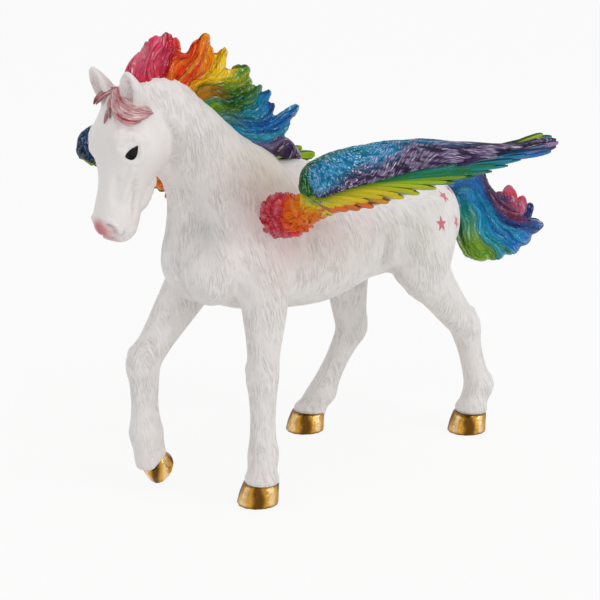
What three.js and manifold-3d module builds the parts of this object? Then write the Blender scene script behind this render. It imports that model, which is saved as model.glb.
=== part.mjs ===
// Pegasus figurine: a painted soft-plastic animal, made as the mouldings that plug together on the bench.
// Millimetres. +X is the way the animal faces, +Y is its left, +Z is up.
// Every form is a loft: elliptical sections strung along a smooth spine.

import * as THREE from "three";
import { mergeVertices } from "three/addons/utils/BufferGeometryUtils.js";
import Module from "manifold-3d";

const wasm = await Module();
wasm.setup();

// Fits between mouldings
const GAP = 0.3;
const TENON_RADIUS = 1.9;
const TENON_LENGTH = 3;
const PLUG_ROOT = 2;
const WELD = 1e-4;

// Torso sections, tail end to breast: x, centre z, half width, rise above centre, drop below centre
const TORSO = [
  [-60, 68.5, 2, 2.5, 4],
  [-58, 67.5, 8, 7, 10],
  [-52, 65.5, 14, 11.8, 14],
  [-43, 65, 17.6, 14.5, 14.5],
  [-33, 65, 18.6, 15.5, 13.5],
  [-20, 64, 17.6, 15.3, 13.4],
  [-8, 63, 17.8, 18.5, 15.6],
  [4, 63, 18, 23.5, 16],
  [15, 63.5, 17.8, 23, 15.2],
  [26, 64, 16.4, 18, 13.6],
  [34, 65, 12.6, 13, 11.5],
  [40, 65.5, 6, 7, 6],
];

// Muscle swells and hollows on the torso, left side: x, y, z, reach, height
const TORSO_SWELLS = [
  [23, 17, 63, 11, 1.6],
  [-39, 18, 63, 12, 2.4],
  [-17, 18, 60, 8, -1.2],
];

// Neck sections, plug in the torso to poll: x, z, half width, crest side, throat side
const NECK = [
  [9, 61, 6, 8, 9],
  [14, 66.5, 12.5, 14, 21],
  [20, 73, 15, 17.5, 26.5],
  [26, 79.5, 13.4, 18.5, 23],
  [33, 87.5, 11, 15.5, 15.5],
  [38.5, 94.5, 9.8, 13, 12.8],
  [44, 100.5, 8.8, 12, 11.5],
  [51, 104.5, 8, 11.3, 10.5],
  [57, 106, 6.5, 9.5, 8],
  [60, 106, 3, 5, 4],
];

// Breast muscle swells, left side: x, y, z, reach, height
const NECK_SWELLS = [[40, 10, 65, 10, 5.4]];
const NECK_SEAM = [26, 79.5];
const NECK_SEAM_NORMAL = [0.68, 0, 0.733];
const NECK_SPIGOT = [7, 9, 9];
const NECK_SPIGOT_LENGTH = 8;

// Head sections, poll to lips: x, z, half width, face side, jaw side
const HEAD = [
  [57, 113, 3.6, 3.4, 5],
  [58.8, 109, 6.8, 5.6, 8],
  [60, 103.5, 8.4, 7, 9.6],
  [60.8, 98, 8.6, 7.3, 10],
  [61.8, 92.5, 6.8, 6.4, 8.6],
  [63, 87, 5.4, 5.6, 7.2],
  [64, 82, 5.6, 5.7, 6.4],
  [64.2, 78.8, 5.5, 5.2, 6.2],
  [63.8, 76.4, 4.2, 3.4, 4.4],
  [63.4, 75.2, 1.6, 1.4, 1.8],
];

// Swells on the head, left side: cheek, brow, nostril, chin: x, y, z, reach, height
const HEAD_SWELLS = [
  [54, 7, 97, 6, 2],
  [66, 7, 103, 4, 1.1],
  [68, 4.5, 79.5, 2.6, 0.9],
  [59, 0, 78, 3, 0.6],
  [67, 5, 92, 4, -0.7],
];

// Left ear, skull to tip: x, y, z, half width, front, back
const EAR = [
  [58.8, 5, 108.5, 2.4, 1.8, 1.8],
  [60, 5.9, 112, 3.1, 1.9, 1.6],
  [61.4, 6.6, 115.6, 2.6, 1.5, 1.2],
  [62.6, 7, 118.4, 1.3, 0.8, 0.7],
  [63.1, 7.2, 119.8, 0.4, 0.3, 0.3],
];

// Left eye: centre and half sizes along x, y, z
const EYE_CENTRE = [63.4, 7.2, 99];
const EYE_SIZE = [2.1, 1.3, 2.2];

// Leg poses: shoulder or hip, elbow or stifle, knee or hock, fetlock, coronet
const LEG_JOINTS = {
  foreleg_left: [
    [25, 11.5, 68],
    [26.5, 14, 56],
    [28.7, 16, 35],
    [29.3, 16.4, 12.6],
    [29.8, 16.5, 5],
  ],
  foreleg_right: [
    [27, -10, 68],
    [30.5, -11.8, 56.5],
    [47.6, -11.5, 36.8],
    [48, -11.2, 16.6],
    [46.2, -11, 8.4],
  ],
  hindleg_left: [
    [-39, 10, 73],
    [-36, 15.5, 53],
    [-52, 17, 33.5],
    [-59.2, 17.3, 12.6],
    [-55.6, 17.4, 5.4],
  ],
  hindleg_right: [
    [-39, -10, 73],
    [-33, -14, 50],
    [-36, -15, 28.5],
    [-24.2, -16.9, 9.4],
    [-19.9, -17.3, 4.8],
  ],
};

// Each leg is a moulding of its own below its seam, and part of the torso above it
const FORE_SEAM = 54;
const HIND_SEAM = 50;
const LEG_SPIGOT_RADIUS = 2.4;
const LEG_SPIGOT_LENGTH = 5;

// The pastern runs on into the hoof by this share of its length, and leg sections lean half with the limb
const PASTERN_RUN_ON = 0.25;
const LEG_LEAN = 0.5;

// The bent foreleg is a little deeper, front to back, than the straight one
const BENT_DEPTH = 1.14;

// Leg girths: place counted in joints from the top, half width, front, back
const FORE_GIRTH = [
  [0, 3, 4, 4],
  [0.5, 5.5, 7.4, 8.6],
  [1, 5.9, 7, 7.8],
  [1.35, 5.1, 5.6, 6.8],
  [1.75, 4.2, 4.5, 5],
  [2, 4.6, 5, 4.5],
  [2.25, 3.9, 4, 3.9],
  [2.55, 3.5, 3.5, 3.5],
  [2.83, 3.7, 3.8, 4],
  [3, 4.4, 4.4, 5],
  [3.55, 4, 4.1, 4.1],
  [4, 4.3, 4.5, 4.2],
];
const HIND_GIRTH = [
  [0, 4, 7, 6],
  [0.3, 7.6, 14.5, 11.5],
  [0.65, 8.2, 16, 11.5],
  [1, 6.8, 11.8, 7.8],
  [1.4, 5.6, 7.6, 5.9],
  [1.75, 4.8, 6.2, 5.3],
  [2, 4.5, 5.4, 6],
  [2.22, 3.9, 4.3, 4.6],
  [2.5, 3.5, 3.8, 3.8],
  [2.8, 3.8, 4.1, 4.3],
  [3, 4.5, 4.6, 6],
  [3.55, 4.1, 4.4, 4.4],
  [4, 4.6, 4.8, 4.5],
];

// Hoof, coronet to sole in its own frame, toe along +X: x, z, half width, toe side, heel side
const HOOF = [
  [-1.1, 5.6, 4.9, 5, 4.6],
  [-0.4, 2.8, 5.4, 5.7, 4.9],
  [0, 0, 5.7, 6.2, 5],
];
const HOOF_HEIGHT = HOOF[0][1];
const GROUND = -0.6;
const HIND_HOOF_SCALE = 1.06;
const FORE_HOOF_SCALE = 1.03;
const RAISED_HOOF_SCALE = 0.85;
const RAISED_HOOF_PITCH = THREE.MathUtils.degToRad(58);

// Mane locks, crest to tip, from poll to withers: x and z of each spine point, in the middle plane
const MANE_LOCKS = [
  [[55.6, 112], [56, 118], [53.4, 122.8]],
  [[53, 112], [52.5, 120], [46, 126.8]],
  [[49, 112], [47.5, 119], [43.5, 123.5]],
  [[45, 111], [43.5, 118.5], [38, 122]],
  [[41, 110], [38.5, 117], [32.5, 125]],
  [[37, 108], [33, 114], [26, 120]],
  [[33, 105], [28, 109.5], [18.5, 114]],
  [[30, 102], [25, 106.5], [18, 110]],
  [[27, 99], [22, 103.5], [13.5, 110]],
  [[24, 96.5], [18, 101], [9.5, 107.5]],
  [[21, 94], [12, 98.5], [0.5, 103]],
  [[17, 92], [10, 95.5], [2, 98]],
  [[13, 90], [7, 92.5], [-0.5, 89]],
];
const MANE_LOCK_WIDTH = 5;
const MANE_LOCK_DEPTH = 3.5;
const MANE_SWAY = 1.4;
const LOCK_TAPER = 0.84;
const LOCK_TAPER_POWER = 2.6;

// Crest line under the mane, poll to withers, for the tongue that seats it: x, z
const CREST = [
  [57, 115],
  [49, 115.5],
  [40, 112],
  [31, 104.5],
  [22, 97.5],
  [11, 92],
];
const TONGUE_HALF_WIDTH = 1.1;
const TONGUE_DEPTH = 2.6;

// Forelock tufts on the brow, poll to tip: x, y, z
const FORELOCK_LOCKS = [
  [[61.5, 0.5, 114], [66, 4, 109], [62.5, 8.6, 106.5]],
  [[61.5, 0, 114], [66.5, -2, 110], [67, -6, 107.5]],
  [[61.5, 0.3, 114], [67.5, 1.6, 107], [68.6, 1.8, 101.5]],
];
const FORELOCK_WIDTH = 2.1;
const FORELOCK_DEPTH = 1.3;

// Tail dock, socket in the croup to the root of the hair: x, z, half width, top, bottom
const TAIL_DOCK = [
  [-50, 72.5, 3.4, 2.6, 3],
  [-57, 73.6, 4, 3, 3.6],
  [-64, 73.4, 4.4, 3.4, 4.2],
  [-70, 71, 3, 2.4, 3],
];

// Tail locks, dock to tip: x, y, z
const TAIL_LOCKS = [
  [[-63, 1, 73], [-69, 3, 69], [-71.5, 4, 60], [-73, 3.6, 51], [-83, 2, 44.6]],
  [[-63, 0, 73.5], [-72, 0, 68], [-75, 0, 60], [-80, 1, 50], [-93, 1, 46]],
  [[-64, -1, 73], [-74, -3, 68], [-79, -3.4, 61], [-88, -2.6, 51.5], [-102, -1, 48.5], [-111, 0, 54]],
  [[-64, 0, 73.5], [-76, 2, 68.5], [-82, 3, 61], [-91, 3.4, 54.5], [-101, 3, 52.5], [-108, 2.4, 57.5]],
  [[-64, -1, 74], [-77, -2, 69.5], [-83, -2, 63], [-90, -1, 58], [-98, -1, 57], [-105.5, -1.6, 61.5]],
  [[-64, 1, 74], [-76, 2.6, 71], [-82, 3.4, 65], [-89, 3.4, 60], [-95.5, 3, 60.5], [-99, 2, 65.5]],
  [[-64, -1, 74], [-76, -3, 71.5], [-82, -3.4, 66.5], [-87, -3.4, 63.5], [-91, -3, 64.5], [-93.5, -2, 69.6]],
];
const TAIL_LOCK_WIDTH = 4.4;
const TAIL_LOCK_DEPTH = 4;

// Left wing arm, shoulder socket to wrist: x, y, z, half height, front, back
const WING_ARM = [
  [20, 11.5, 74.5, 3, 3, 3],
  [23.5, 16, 77, 4.8, 4.6, 4.8],
  [25.5, 20.5, 78.6, 4.8, 4.8, 5],
  [28.5, 30, 82, 3.9, 4.6, 5],
  [33, 39, 86.5, 3.6, 4.4, 4.6],
  [37, 45, 91, 2.6, 3, 3],
];

// Left wing covert pad, wrist to tip: x, y, z, half height, outer face, inner face
const WING_PAD = [
  [42.2, 45.8, 92, 2.2, 1.6, 1.6],
  [39, 45.8, 93, 5.6, 3, 3],
  [31, 46, 94.4, 6, 3.6, 3.4],
  [21, 47.6, 95.4, 5.9, 3.6, 3.4],
  [9, 50.6, 96.4, 5, 3.2, 3],
  [-4, 54.6, 96.3, 3.4, 2.6, 2.4],
  [-18, 58.8, 96.2, 1.9, 1.9, 1.8],
  [-28, 61, 97.4, 1.6, 1.3, 1.3],
  [-34, 62, 97.6, 0.7, 0.6, 0.6],
];

// Left wing flight feathers, innermost first: root point on the arm or pad, then tip
const WING_FEATHERS = [
  [[24, 20, 79.5], [2, 20.5, 80]],
  [[25, 24, 80], [-2, 24, 79.6]],
  [[27, 29, 81.5], [-4, 27, 79.6]],
  [[29, 35, 83], [10, 34, 81]],
  [[33, 40, 86], [0, 30.5, 80]],
  [[34, 43, 88], [-9.5, 28.5, 80]],
  [[31, 45, 89], [-18, 26.5, 80.5]],
  [[26, 46, 90], [-28, 25, 80.5]],
  [[21, 47, 91], [-32, 29, 82.5]],
  [[16, 48, 92], [-33, 34, 84.5]],
  [[10, 50, 93], [-35, 40, 87]],
  [[4, 52, 94], [-36, 46, 89]],
  [[-3, 54, 94.5], [-35.5, 51, 90.8]],
  [[-9, 56, 95], [-34.5, 56, 92.4]],
  [[-14, 58, 95.5], [-33.5, 60.5, 94.5]],
  [[-12, 57, 97], [-30, 60.5, 99]],
];
const FEATHER_WIDTH = 3.6;
const FEATHER_THICKNESS = 0.75;

// Feather blade, root to tip: place, share of the width, share of the thickness
const FEATHER_BLADE = [
  [0, 0.5, 0.8],
  [0.6, 1, 1],
  [0.92, 0.8, 0.7],
  [1, 0.25, 0.4],
];
const FEATHER_FACE = new THREE.Vector3(0, -0.4, 0.92);

// Facets
const BODY_SIDES = 22;
const NECK_SIDES = 18;
const LEG_SIDES = 10;
const LOCK_SIDES = 6;
const PAD_SIDES = 12;
const PLUG_SIDES = 12;
const FEATHER_SIDES = 4;
const HOOF_SIDES = 14;
const EAR_SIDES = 8;
const TONGUE_SIDES = 6;
const EYE_SEGMENTS = [10, 6];

const LEFTWARD = new THREE.Vector3(0, 1, 0);
const FORWARD = new THREE.Vector3(1, 0, 0);
const UPWARD = new THREE.Vector3(0, 0, 1);
const DOWNWARD = new THREE.Vector3(0, 0, -1);

const COAT = { color: 0xf1eee9, roughness: 0.55, metalness: 0 };
const GOLD = { color: 0xb08a3c, roughness: 0.35, metalness: 0.9 };
const FINISHES = {
  mane: { color: 0xd8622c, roughness: 0.45, metalness: 0 },
  forelock: { color: 0xe7a0ae, roughness: 0.5, metalness: 0 },
  tail: { color: 0x1f86b8, roughness: 0.45, metalness: 0 },
  wing: { color: 0x4c63a8, roughness: 0.4, metalness: 0 },
  eye: { color: 0x0b0a0a, roughness: 0.08, metalness: 0 },
};

// Turns [x, z, ...] rows in the middle plane into [x, y, z, ...] stations
const midplane = (rows) => rows.map(([x, z, ...rest]) => [x, 0, z, ...rest]);

// A closed loft through stations [x, y, z, across, over, under]. The sections keep `across` level with the
// given direction. They stand square to the spine, or to `along`, or lean part of the way between the two.
// Swells push the skin out, or draw it in, around a point and its mirror image.
function loft(stations, options) {
  const { across, along = null, lean = 0, swells = [], sides = BODY_SIDES, steps = 2, grow = 0 } = options;
  const spine = new THREE.CatmullRomCurve3(stations.map(([x, y, z]) => new THREE.Vector3(x, y, z)));
  const girth = new THREE.CatmullRomCurve3(stations.map((row) => new THREE.Vector3(...row.slice(3))));
  const rings = (stations.length - 1) * steps;
  const corners = [];
  for (let i = 0; i <= rings; i += 1) {
    const place = i / rings;
    const tangent = spine.getTangent(place);
    if (along) {
      tangent.lerp(along, 1 - lean).normalize();
    }
    const side = across.clone().addScaledVector(tangent, -across.dot(tangent)).normalize();
    const over = new THREE.Vector3().crossVectors(tangent, side);
    const end = i === 0 ? -1 : Number(i === rings);
    const centre = spine.getPoint(place).addScaledVector(tangent, end * grow);
    const half = girth.getPoint(place).addScalar(grow);
    for (let j = 0; j < sides; j += 1) {
      const angle = (j / sides) * 2 * Math.PI;
      const height = Math.sin(angle) > 0 ? half.y : half.z;
      const reach = side
        .clone()
        .multiplyScalar(Math.cos(angle) * half.x)
        .addScaledVector(over, Math.sin(angle) * height);
      const swell = swellAt(reach.clone().add(centre), swells);
      corners.push(reach.setLength(reach.length() + swell).add(centre));
    }
    if (end !== 0) {
      corners.push(centre);
    }
  }
  return solidFrom(corners, ringFaces(rings, sides));
}

function swellAt(point, swells) {
  return swells.reduce((sum, [x, y, z, reach, height]) => {
    const apart = Math.hypot(point.x - x, Math.abs(point.y) - y, point.z - z);
    return sum + height * Math.exp(-((apart / reach) ** 2));
  }, 0);
}

// Triangles of a ringed skin. The first and last rings are each followed by the centre of their cap.
function ringFaces(rings, sides) {
  const start = (ring) => ring * sides + (ring > 0 ? 1 : 0);
  const lastCentre = start(rings) + sides;
  const faces = [];
  for (let j = 0; j < sides; j += 1) {
    const next = (j + 1) % sides;
    faces.push(sides, next, j);
    faces.push(lastCentre, start(rings) + j, start(rings) + next);
    for (let ring = 0; ring < rings; ring += 1) {
      const low = start(ring);
      const high = start(ring + 1);
      faces.push(low + j, low + next, high + j);
      faces.push(low + next, high + next, high + j);
    }
  }
  return faces;
}

function solidFrom(corners, faces) {
  const geometry = new THREE.BufferGeometry().setFromPoints(corners);
  geometry.setIndex(faces);
  return solidOf(geometry);
}

function solidOf(geometry) {
  geometry.deleteAttribute("normal");
  geometry.deleteAttribute("uv");
  const merged = mergeVertices(geometry, WELD);
  return new wasm.Manifold(
    new wasm.Mesh({
      numProp: 3,
      vertProperties: new Float32Array(merged.attributes.position.array),
      triVerts: new Uint32Array(merged.index.array),
    }),
  );
}

const union = (solids) => solids.reduce((whole, solid) => whole.add(solid));
const cut = (solid, cutters) => cutters.reduce((rest, cutter) => rest.subtract(cutter), solid);

// The body that is left when a cut has also freed slivers
function largest(solid) {
  return solid.decompose().reduce((best, piece) => (piece.volume() > best.volume() ? piece : best));
}

function meshOf(name, solid, finish) {
  const { vertProperties, triVerts } = solid.getMesh();
  const geometry = new THREE.BufferGeometry();
  geometry.setAttribute("position", new THREE.BufferAttribute(Float32Array.from(vertProperties), 3));
  geometry.setIndex(new THREE.BufferAttribute(Uint32Array.from(triVerts), 1));
  geometry.computeVertexNormals();
  const mesh = new THREE.Mesh(geometry, new THREE.MeshStandardMaterial(finish));
  mesh.name = name;
  return mesh;
}

// Body forms, each with a copy grown by the fit clearance for cutting its socket
const torsoForm = (grow) =>
  loft(midplane(TORSO), { across: LEFTWARD, along: FORWARD, swells: TORSO_SWELLS, grow });
const neckForm = (grow) =>
  loft(midplane(NECK), { across: LEFTWARD, swells: NECK_SWELLS, sides: NECK_SIDES, grow });
const headForm = (grow) =>
  loft(midplane(HEAD), { across: LEFTWARD, swells: HEAD_SWELLS, sides: NECK_SIDES, grow });

// Leg stations: girths strung along the pose's joints, with the last one run on into the hoof
function legStations(joints, girths, depth) {
  const points = joints.map((joint) => new THREE.Vector3(...joint));
  const stations = girths.map(([place, width, front, back]) => {
    const upper = Math.min(Math.floor(place), points.length - 2);
    const point = points[upper].clone().lerp(points[upper + 1], place - upper);
    return [...point.toArray(), width, front * depth, back * depth];
  });
  const runOn = points.at(-1).clone().lerp(points.at(-2), -PASTERN_RUN_ON);
  stations.push([...runOn.toArray(), ...stations.at(-1).slice(3)]);
  return stations;
}

function legForm(joints, girths, depth) {
  const stations = legStations(joints, girths, depth);
  return loft(stations, { across: LEFTWARD, along: DOWNWARD, lean: LEG_LEAN, sides: LEG_SIDES });
}

// The spigot on top of a leg stands upright in the torso, over the middle of the seam
function legSpigot(joints, seam, grow) {
  const [upper, lower] = [joints[1], joints[2]].map((joint) => new THREE.Vector3(...joint));
  const middle = upper.lerp(lower, (upper.z - seam) / (upper.z - lower.z));
  const radius = LEG_SPIGOT_RADIUS;
  const stations = [
    [middle.x, middle.y, seam + LEG_SPIGOT_LENGTH, radius, radius, radius],
    [middle.x, middle.y, seam - PLUG_ROOT, radius, radius, radius],
  ];
  return loft(stations, { across: LEFTWARD, along: DOWNWARD, sides: PLUG_SIDES, steps: 1, grow });
}

// The neck's spigot runs back along the seam's normal into the torso
function neckSpigot(grow) {
  const [x, z] = NECK_SEAM;
  const normal = new THREE.Vector3(...NECK_SEAM_NORMAL);
  const stations = [-NECK_SPIGOT_LENGTH, PLUG_ROOT].map((place) => [
    x + normal.x * place,
    0,
    z + normal.z * place,
    ...NECK_SPIGOT,
  ]);
  return loft(stations, { across: LEFTWARD, sides: PLUG_SIDES, steps: 1, grow });
}

const above = (solid, normal, offset) => solid.trimByPlane(normal.toArray(), offset + GAP / 2);
const below = (solid, normal, offset) =>
  solid.trimByPlane(normal.clone().negate().toArray(), GAP / 2 - offset);

// The hoof stands under its coronet; the raised one is pitched toe down
function hoofFrame(joints, scale, pitch) {
  const coronet = new THREE.Vector3(...joints.at(-1));
  const turn = new THREE.Quaternion().setFromAxisAngle(LEFTWARD, pitch);
  const fromSole = new THREE.Vector3(HOOF[0][0], 0, HOOF_HEIGHT).multiplyScalar(scale).applyQuaternion(turn);
  const sole = coronet.clone().sub(fromSole);
  if (pitch === 0) {
    sole.z = GROUND;
  }
  return new THREE.Matrix4().compose(sole, turn, new THREE.Vector3(scale, scale, scale));
}

function hoofForm(frame, grow) {
  const solid = loft(midplane(HOOF), { across: LEFTWARD, along: DOWNWARD, sides: HOOF_SIDES, grow });
  return solid.transform(frame.elements);
}

// The tenon on the end of each leg runs from inside the pastern down the hoof's own axis
function tenonForm(frame, grow) {
  const radius = TENON_RADIUS;
  const stations = [
    [HOOF[0][0], 0, HOOF_HEIGHT + PLUG_ROOT, radius, radius, radius],
    [HOOF[0][0], 0, HOOF_HEIGHT - TENON_LENGTH, radius, radius, radius],
  ];
  const solid = loft(stations, { across: LEFTWARD, along: DOWNWARD, sides: PLUG_SIDES, steps: 1, grow });
  return solid.transform(frame.elements);
}

// A tapering lock of hair: full near its root, drawn to a point at its tip
function lock(spine, width, depth) {
  const last = spine.length - 1;
  const stations = spine.map((point, i) => {
    const fullness = 1 - LOCK_TAPER * (i / last) ** LOCK_TAPER_POWER;
    return [...point, depth * fullness, width * fullness, width * fullness];
  });
  return loft(stations, { across: LEFTWARD, sides: LOCK_SIDES });
}

function maneForm() {
  const locks = MANE_LOCKS.map((spine, i) => {
    const sway = MANE_SWAY * (i % 2 === 0 ? 1 : -1);
    const swayed = spine.map(([x, z], step) => [x, (sway * step) / (spine.length - 1), z]);
    return lock(swayed, MANE_LOCK_WIDTH, MANE_LOCK_DEPTH);
  });
  return union(locks);
}

// The mane's tongue lies along the crest, half in the neck's groove and half in the hair
function tongueForm(grow) {
  const stations = CREST.map(([x, z]) => [x, 0, z, TONGUE_HALF_WIDTH, TONGUE_DEPTH, TONGUE_DEPTH]);
  return loft(stations, { across: LEFTWARD, sides: TONGUE_SIDES, grow });
}

function forelockForm() {
  return union(FORELOCK_LOCKS.map((spine) => lock(spine, FORELOCK_DEPTH, FORELOCK_WIDTH)));
}

const dockForm = (grow) => loft(midplane(TAIL_DOCK), { across: LEFTWARD, sides: LEG_SIDES, steps: 1, grow });

function tailForm() {
  return union(TAIL_LOCKS.map((spine) => lock(spine, TAIL_LOCK_WIDTH, TAIL_LOCK_DEPTH)));
}

// One flight feather: a thin blade, widest past its middle, drooping a little to a round tip
function feather([root, tip]) {
  const start = new THREE.Vector3(...root);
  const run = new THREE.Vector3(...tip).sub(start);
  const stations = FEATHER_BLADE.map(([place, width, thickness]) => {
    const point = start.clone().addScaledVector(run, place);
    const half = FEATHER_THICKNESS * thickness;
    return [...point.toArray(), FEATHER_WIDTH * width, half, half];
  });
  const across = new THREE.Vector3().crossVectors(run, FEATHER_FACE).normalize();
  return loft(stations, { across, sides: FEATHER_SIDES, steps: 1 });
}

const armForm = (grow) => loft(WING_ARM, { across: UPWARD, sides: LEG_SIDES, grow });

function wingForm() {
  const pad = loft(WING_PAD, { across: UPWARD, sides: PAD_SIDES });
  return union([pad, ...WING_FEATHERS.map(feather)]);
}

function eyeForm(grow) {
  const geometry = new THREE.SphereGeometry(1, ...EYE_SEGMENTS);
  geometry.scale(...EYE_SIZE.map((half) => half + grow));
  geometry.translate(...EYE_CENTRE);
  return solidOf(geometry);
}

const flip = (solid) => solid.mirror([0, 1, 0]);

// Assembly
const legs = Object.entries(LEG_JOINTS).map(([name, joints]) => {
  const fore = name.startsWith("fore");
  const raised = name === "foreleg_right";
  const scale = fore ? (raised ? RAISED_HOOF_SCALE : FORE_HOOF_SCALE) : HIND_HOOF_SCALE;
  return {
    name,
    joints,
    seam: fore ? FORE_SEAM : HIND_SEAM,
    form: legForm(joints, fore ? FORE_GIRTH : HIND_GIRTH, raised ? BENT_DEPTH : 1),
    hoofFrame: hoofFrame(joints, scale, raised ? RAISED_HOOF_PITCH : 0),
  };
});
const ear = loft(EAR, { across: LEFTWARD, sides: EAR_SIDES });
const body = union([torsoForm(0), neckForm(0), headForm(0), ear, flip(ear)]);
const bodyRoom = union([torsoForm(GAP), neckForm(GAP), headForm(GAP)]);
const seamNormal = new THREE.Vector3(...NECK_SEAM_NORMAL).normalize();
const seamOffset = seamNormal.dot(new THREE.Vector3(NECK_SEAM[0], 0, NECK_SEAM[1]));

const figurine = new THREE.Group();
const add = (name, solid, finish) => figurine.add(meshOf(name, largest(solid), finish));

const haunches = legs.map(({ form, seam }) => above(form, UPWARD, seam));
const torso = cut(union([below(body, seamNormal, seamOffset), ...haunches]), [
  neckSpigot(GAP),
  tongueForm(GAP),
  dockForm(GAP),
  armForm(GAP),
  flip(armForm(GAP)),
  ...legs.map(({ joints, seam }) => legSpigot(joints, seam, GAP)),
]);
add("torso", torso, COAT);

const headAndNeck = above(body, seamNormal, seamOffset).add(neckSpigot(0));
add("head_and_neck", cut(headAndNeck, [eyeForm(GAP), flip(eyeForm(GAP)), tongueForm(GAP)]), COAT);

legs.forEach(({ name, joints, seam, form, hoofFrame: frame }) => {
  const leg = cut(below(form, UPWARD, seam), [bodyRoom, hoofForm(frame, GAP)]);
  add(name, union([leg, legSpigot(joints, seam, 0), tenonForm(frame, 0)]), COAT);
  const hoof = hoofForm(frame, 0).subtract(tenonForm(frame, GAP));
  add(`hoof_${name.replace("leg", "")}`, hoof, GOLD);
});

const wing = cut(wingForm(), [bodyRoom]).add(armForm(0));
add("wing_left", wing, FINISHES.wing);
add("wing_right", flip(wing), FINISHES.wing);

const mane = cut(maneForm(), [bodyRoom]).add(tongueForm(0));
add("mane", mane, FINISHES.mane);
add("forelock", cut(forelockForm(), [bodyRoom]), FINISHES.forelock);
add("tail", cut(tailForm(), [bodyRoom]).add(dockForm(0)), FINISHES.tail);
add("eye_left", eyeForm(0), FINISHES.eye);
add("eye_right", flip(eyeForm(0)), FINISHES.eye);

// The origin is the middle of the box, on the ground
const box = new THREE.Box3().setFromObject(figurine);
const middle = box.getCenter(new THREE.Vector3());
figurine.position.set(-middle.x, -middle.y, -box.min.z);

export default figurine;
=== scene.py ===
"""Painted pegasus figurine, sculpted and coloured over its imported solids, in their frame."""

import math

import bmesh
import bpy
from mathutils import Matrix, Vector, noise
from mathutils.bvhtree import BVHTree
from mathutils.kdtree import KDTree


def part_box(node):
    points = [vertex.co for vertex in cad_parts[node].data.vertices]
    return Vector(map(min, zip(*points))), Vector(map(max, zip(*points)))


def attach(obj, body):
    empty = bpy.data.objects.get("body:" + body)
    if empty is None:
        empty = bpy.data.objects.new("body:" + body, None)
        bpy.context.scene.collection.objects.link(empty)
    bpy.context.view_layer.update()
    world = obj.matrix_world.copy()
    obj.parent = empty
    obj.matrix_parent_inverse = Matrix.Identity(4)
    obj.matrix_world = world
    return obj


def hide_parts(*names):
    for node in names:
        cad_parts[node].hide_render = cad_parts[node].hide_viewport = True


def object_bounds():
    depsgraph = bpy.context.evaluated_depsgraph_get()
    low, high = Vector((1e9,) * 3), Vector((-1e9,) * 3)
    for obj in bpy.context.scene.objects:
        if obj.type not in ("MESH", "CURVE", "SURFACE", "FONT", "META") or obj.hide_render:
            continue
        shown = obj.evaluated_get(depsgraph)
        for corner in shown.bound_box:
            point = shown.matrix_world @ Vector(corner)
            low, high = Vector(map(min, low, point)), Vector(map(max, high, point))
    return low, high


bl_info = {
    "name": "Pegasus figurine",
    "version": (1, 0, 0),
    "blender": (4, 5, 0),
    "location": "3D View > Sidebar > Pegasus",
    "description": "Sculpts and paints a winged toy horse over its moulded solids",
    "category": "Object",
}

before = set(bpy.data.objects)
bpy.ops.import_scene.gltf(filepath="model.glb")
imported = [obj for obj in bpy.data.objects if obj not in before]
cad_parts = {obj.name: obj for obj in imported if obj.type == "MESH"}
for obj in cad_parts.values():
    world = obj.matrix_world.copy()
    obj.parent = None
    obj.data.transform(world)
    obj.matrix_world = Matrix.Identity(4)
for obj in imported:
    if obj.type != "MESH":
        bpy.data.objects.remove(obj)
CAD_BOX = [list(corner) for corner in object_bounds()]

# The drawing is in millimetres, from a point between the feet, and the left eye ties it to the frame
MM = 0.001
EYE = Vector((63.4, 7.2, 99))
eye_low, eye_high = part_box("eye_left")
DATUM = (eye_low + eye_high) / 2 - EYE * MM
LEFT = Vector((0, 1, 0))
UP = Vector((0, 0, 1))

# Eye: the way it looks, the way to its front corner, and its corners in those axes
EYE_OUT = Vector((0.52, 0.84, 0)).normalized()
EYE_FRONT = Vector((0.88, -0.47, 0)).cross(EYE_OUT).cross(EYE_OUT).normalized() * -1
EYE_UP = EYE_FRONT.cross(EYE_OUT)
EYE_CORNERS = ((2, -1.4), (-1.15, 1.5))
EYE_BULGES = (0.8, 2.5)
EYE_DOME = 0.5
# Lids and brow fold in the eye's axes, front, up and out: points, reach, height
EYE_LIDS = (
    (((2.9, -0.9, 1), (1.6, 0.7, 1), (0, 1.9, 1), (-1.4, 2.6, 1)), 1.4, 0.55),
    (((-1.8, 1.4, 0.6), (-2.3, -0.4, 0.6), (-1.9, -2.1, 0.4), (-0.2, -3, 0.2), (1.8, -2.6, 0.2)), 1.1, 0.4),
    (((3, 0.8, 0.8), (1.7, 2.3, 0.8), (-0.4, 3.6, 0.8)), 1.3, -0.4),
)

# Leg joints: elbow or stifle, knee or hock, fetlock, coronet
LEGS = {
    "foreleg_left": ((26.5, 14, 56), (28.7, 16, 35), (29.3, 16.4, 12.6), (29.8, 16.5, 5)),
    "foreleg_right": ((30.5, -11.8, 56.5), (47.6, -11.5, 36.8), (48, -11.2, 16.6), (46.2, -11, 8.4)),
    "hindleg_left": ((-36, 15.5, 53), (-52, 17, 33.5), (-59.2, 17.3, 12.6), (-55.6, 17.4, 5.4)),
    "hindleg_right": ((-33, -14, 50), (-36, -15, 28.5), (-24.2, -16.9, 9.4), (-19.9, -17.3, 4.8)),
}

# Fillets for the withers and the sockets that other pieces plug into: centre, half sizes
SOCKET_PLUGS = (
    ((22, 14, 76), (5.4, 4.6, 5.2)),
    ((22, -14, 76), (5.4, 4.6, 5.2)),
    ((-54, 0, 73), (6, 4.2, 3.6)),
    ((6, 0, 83.2), (12.5, 7.5, 6.4)),
    ((62.6, 6.2, 99), (2.4, 1.6, 2.6)),
    ((62.6, -6.2, 99), (2.4, 1.6, 2.6)),
)
# The flare of a leg onto its hoof: half sizes as shares of the hoof's half width
CORONET_FLARE = (0.87, 0.9, 0.52)
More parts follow.
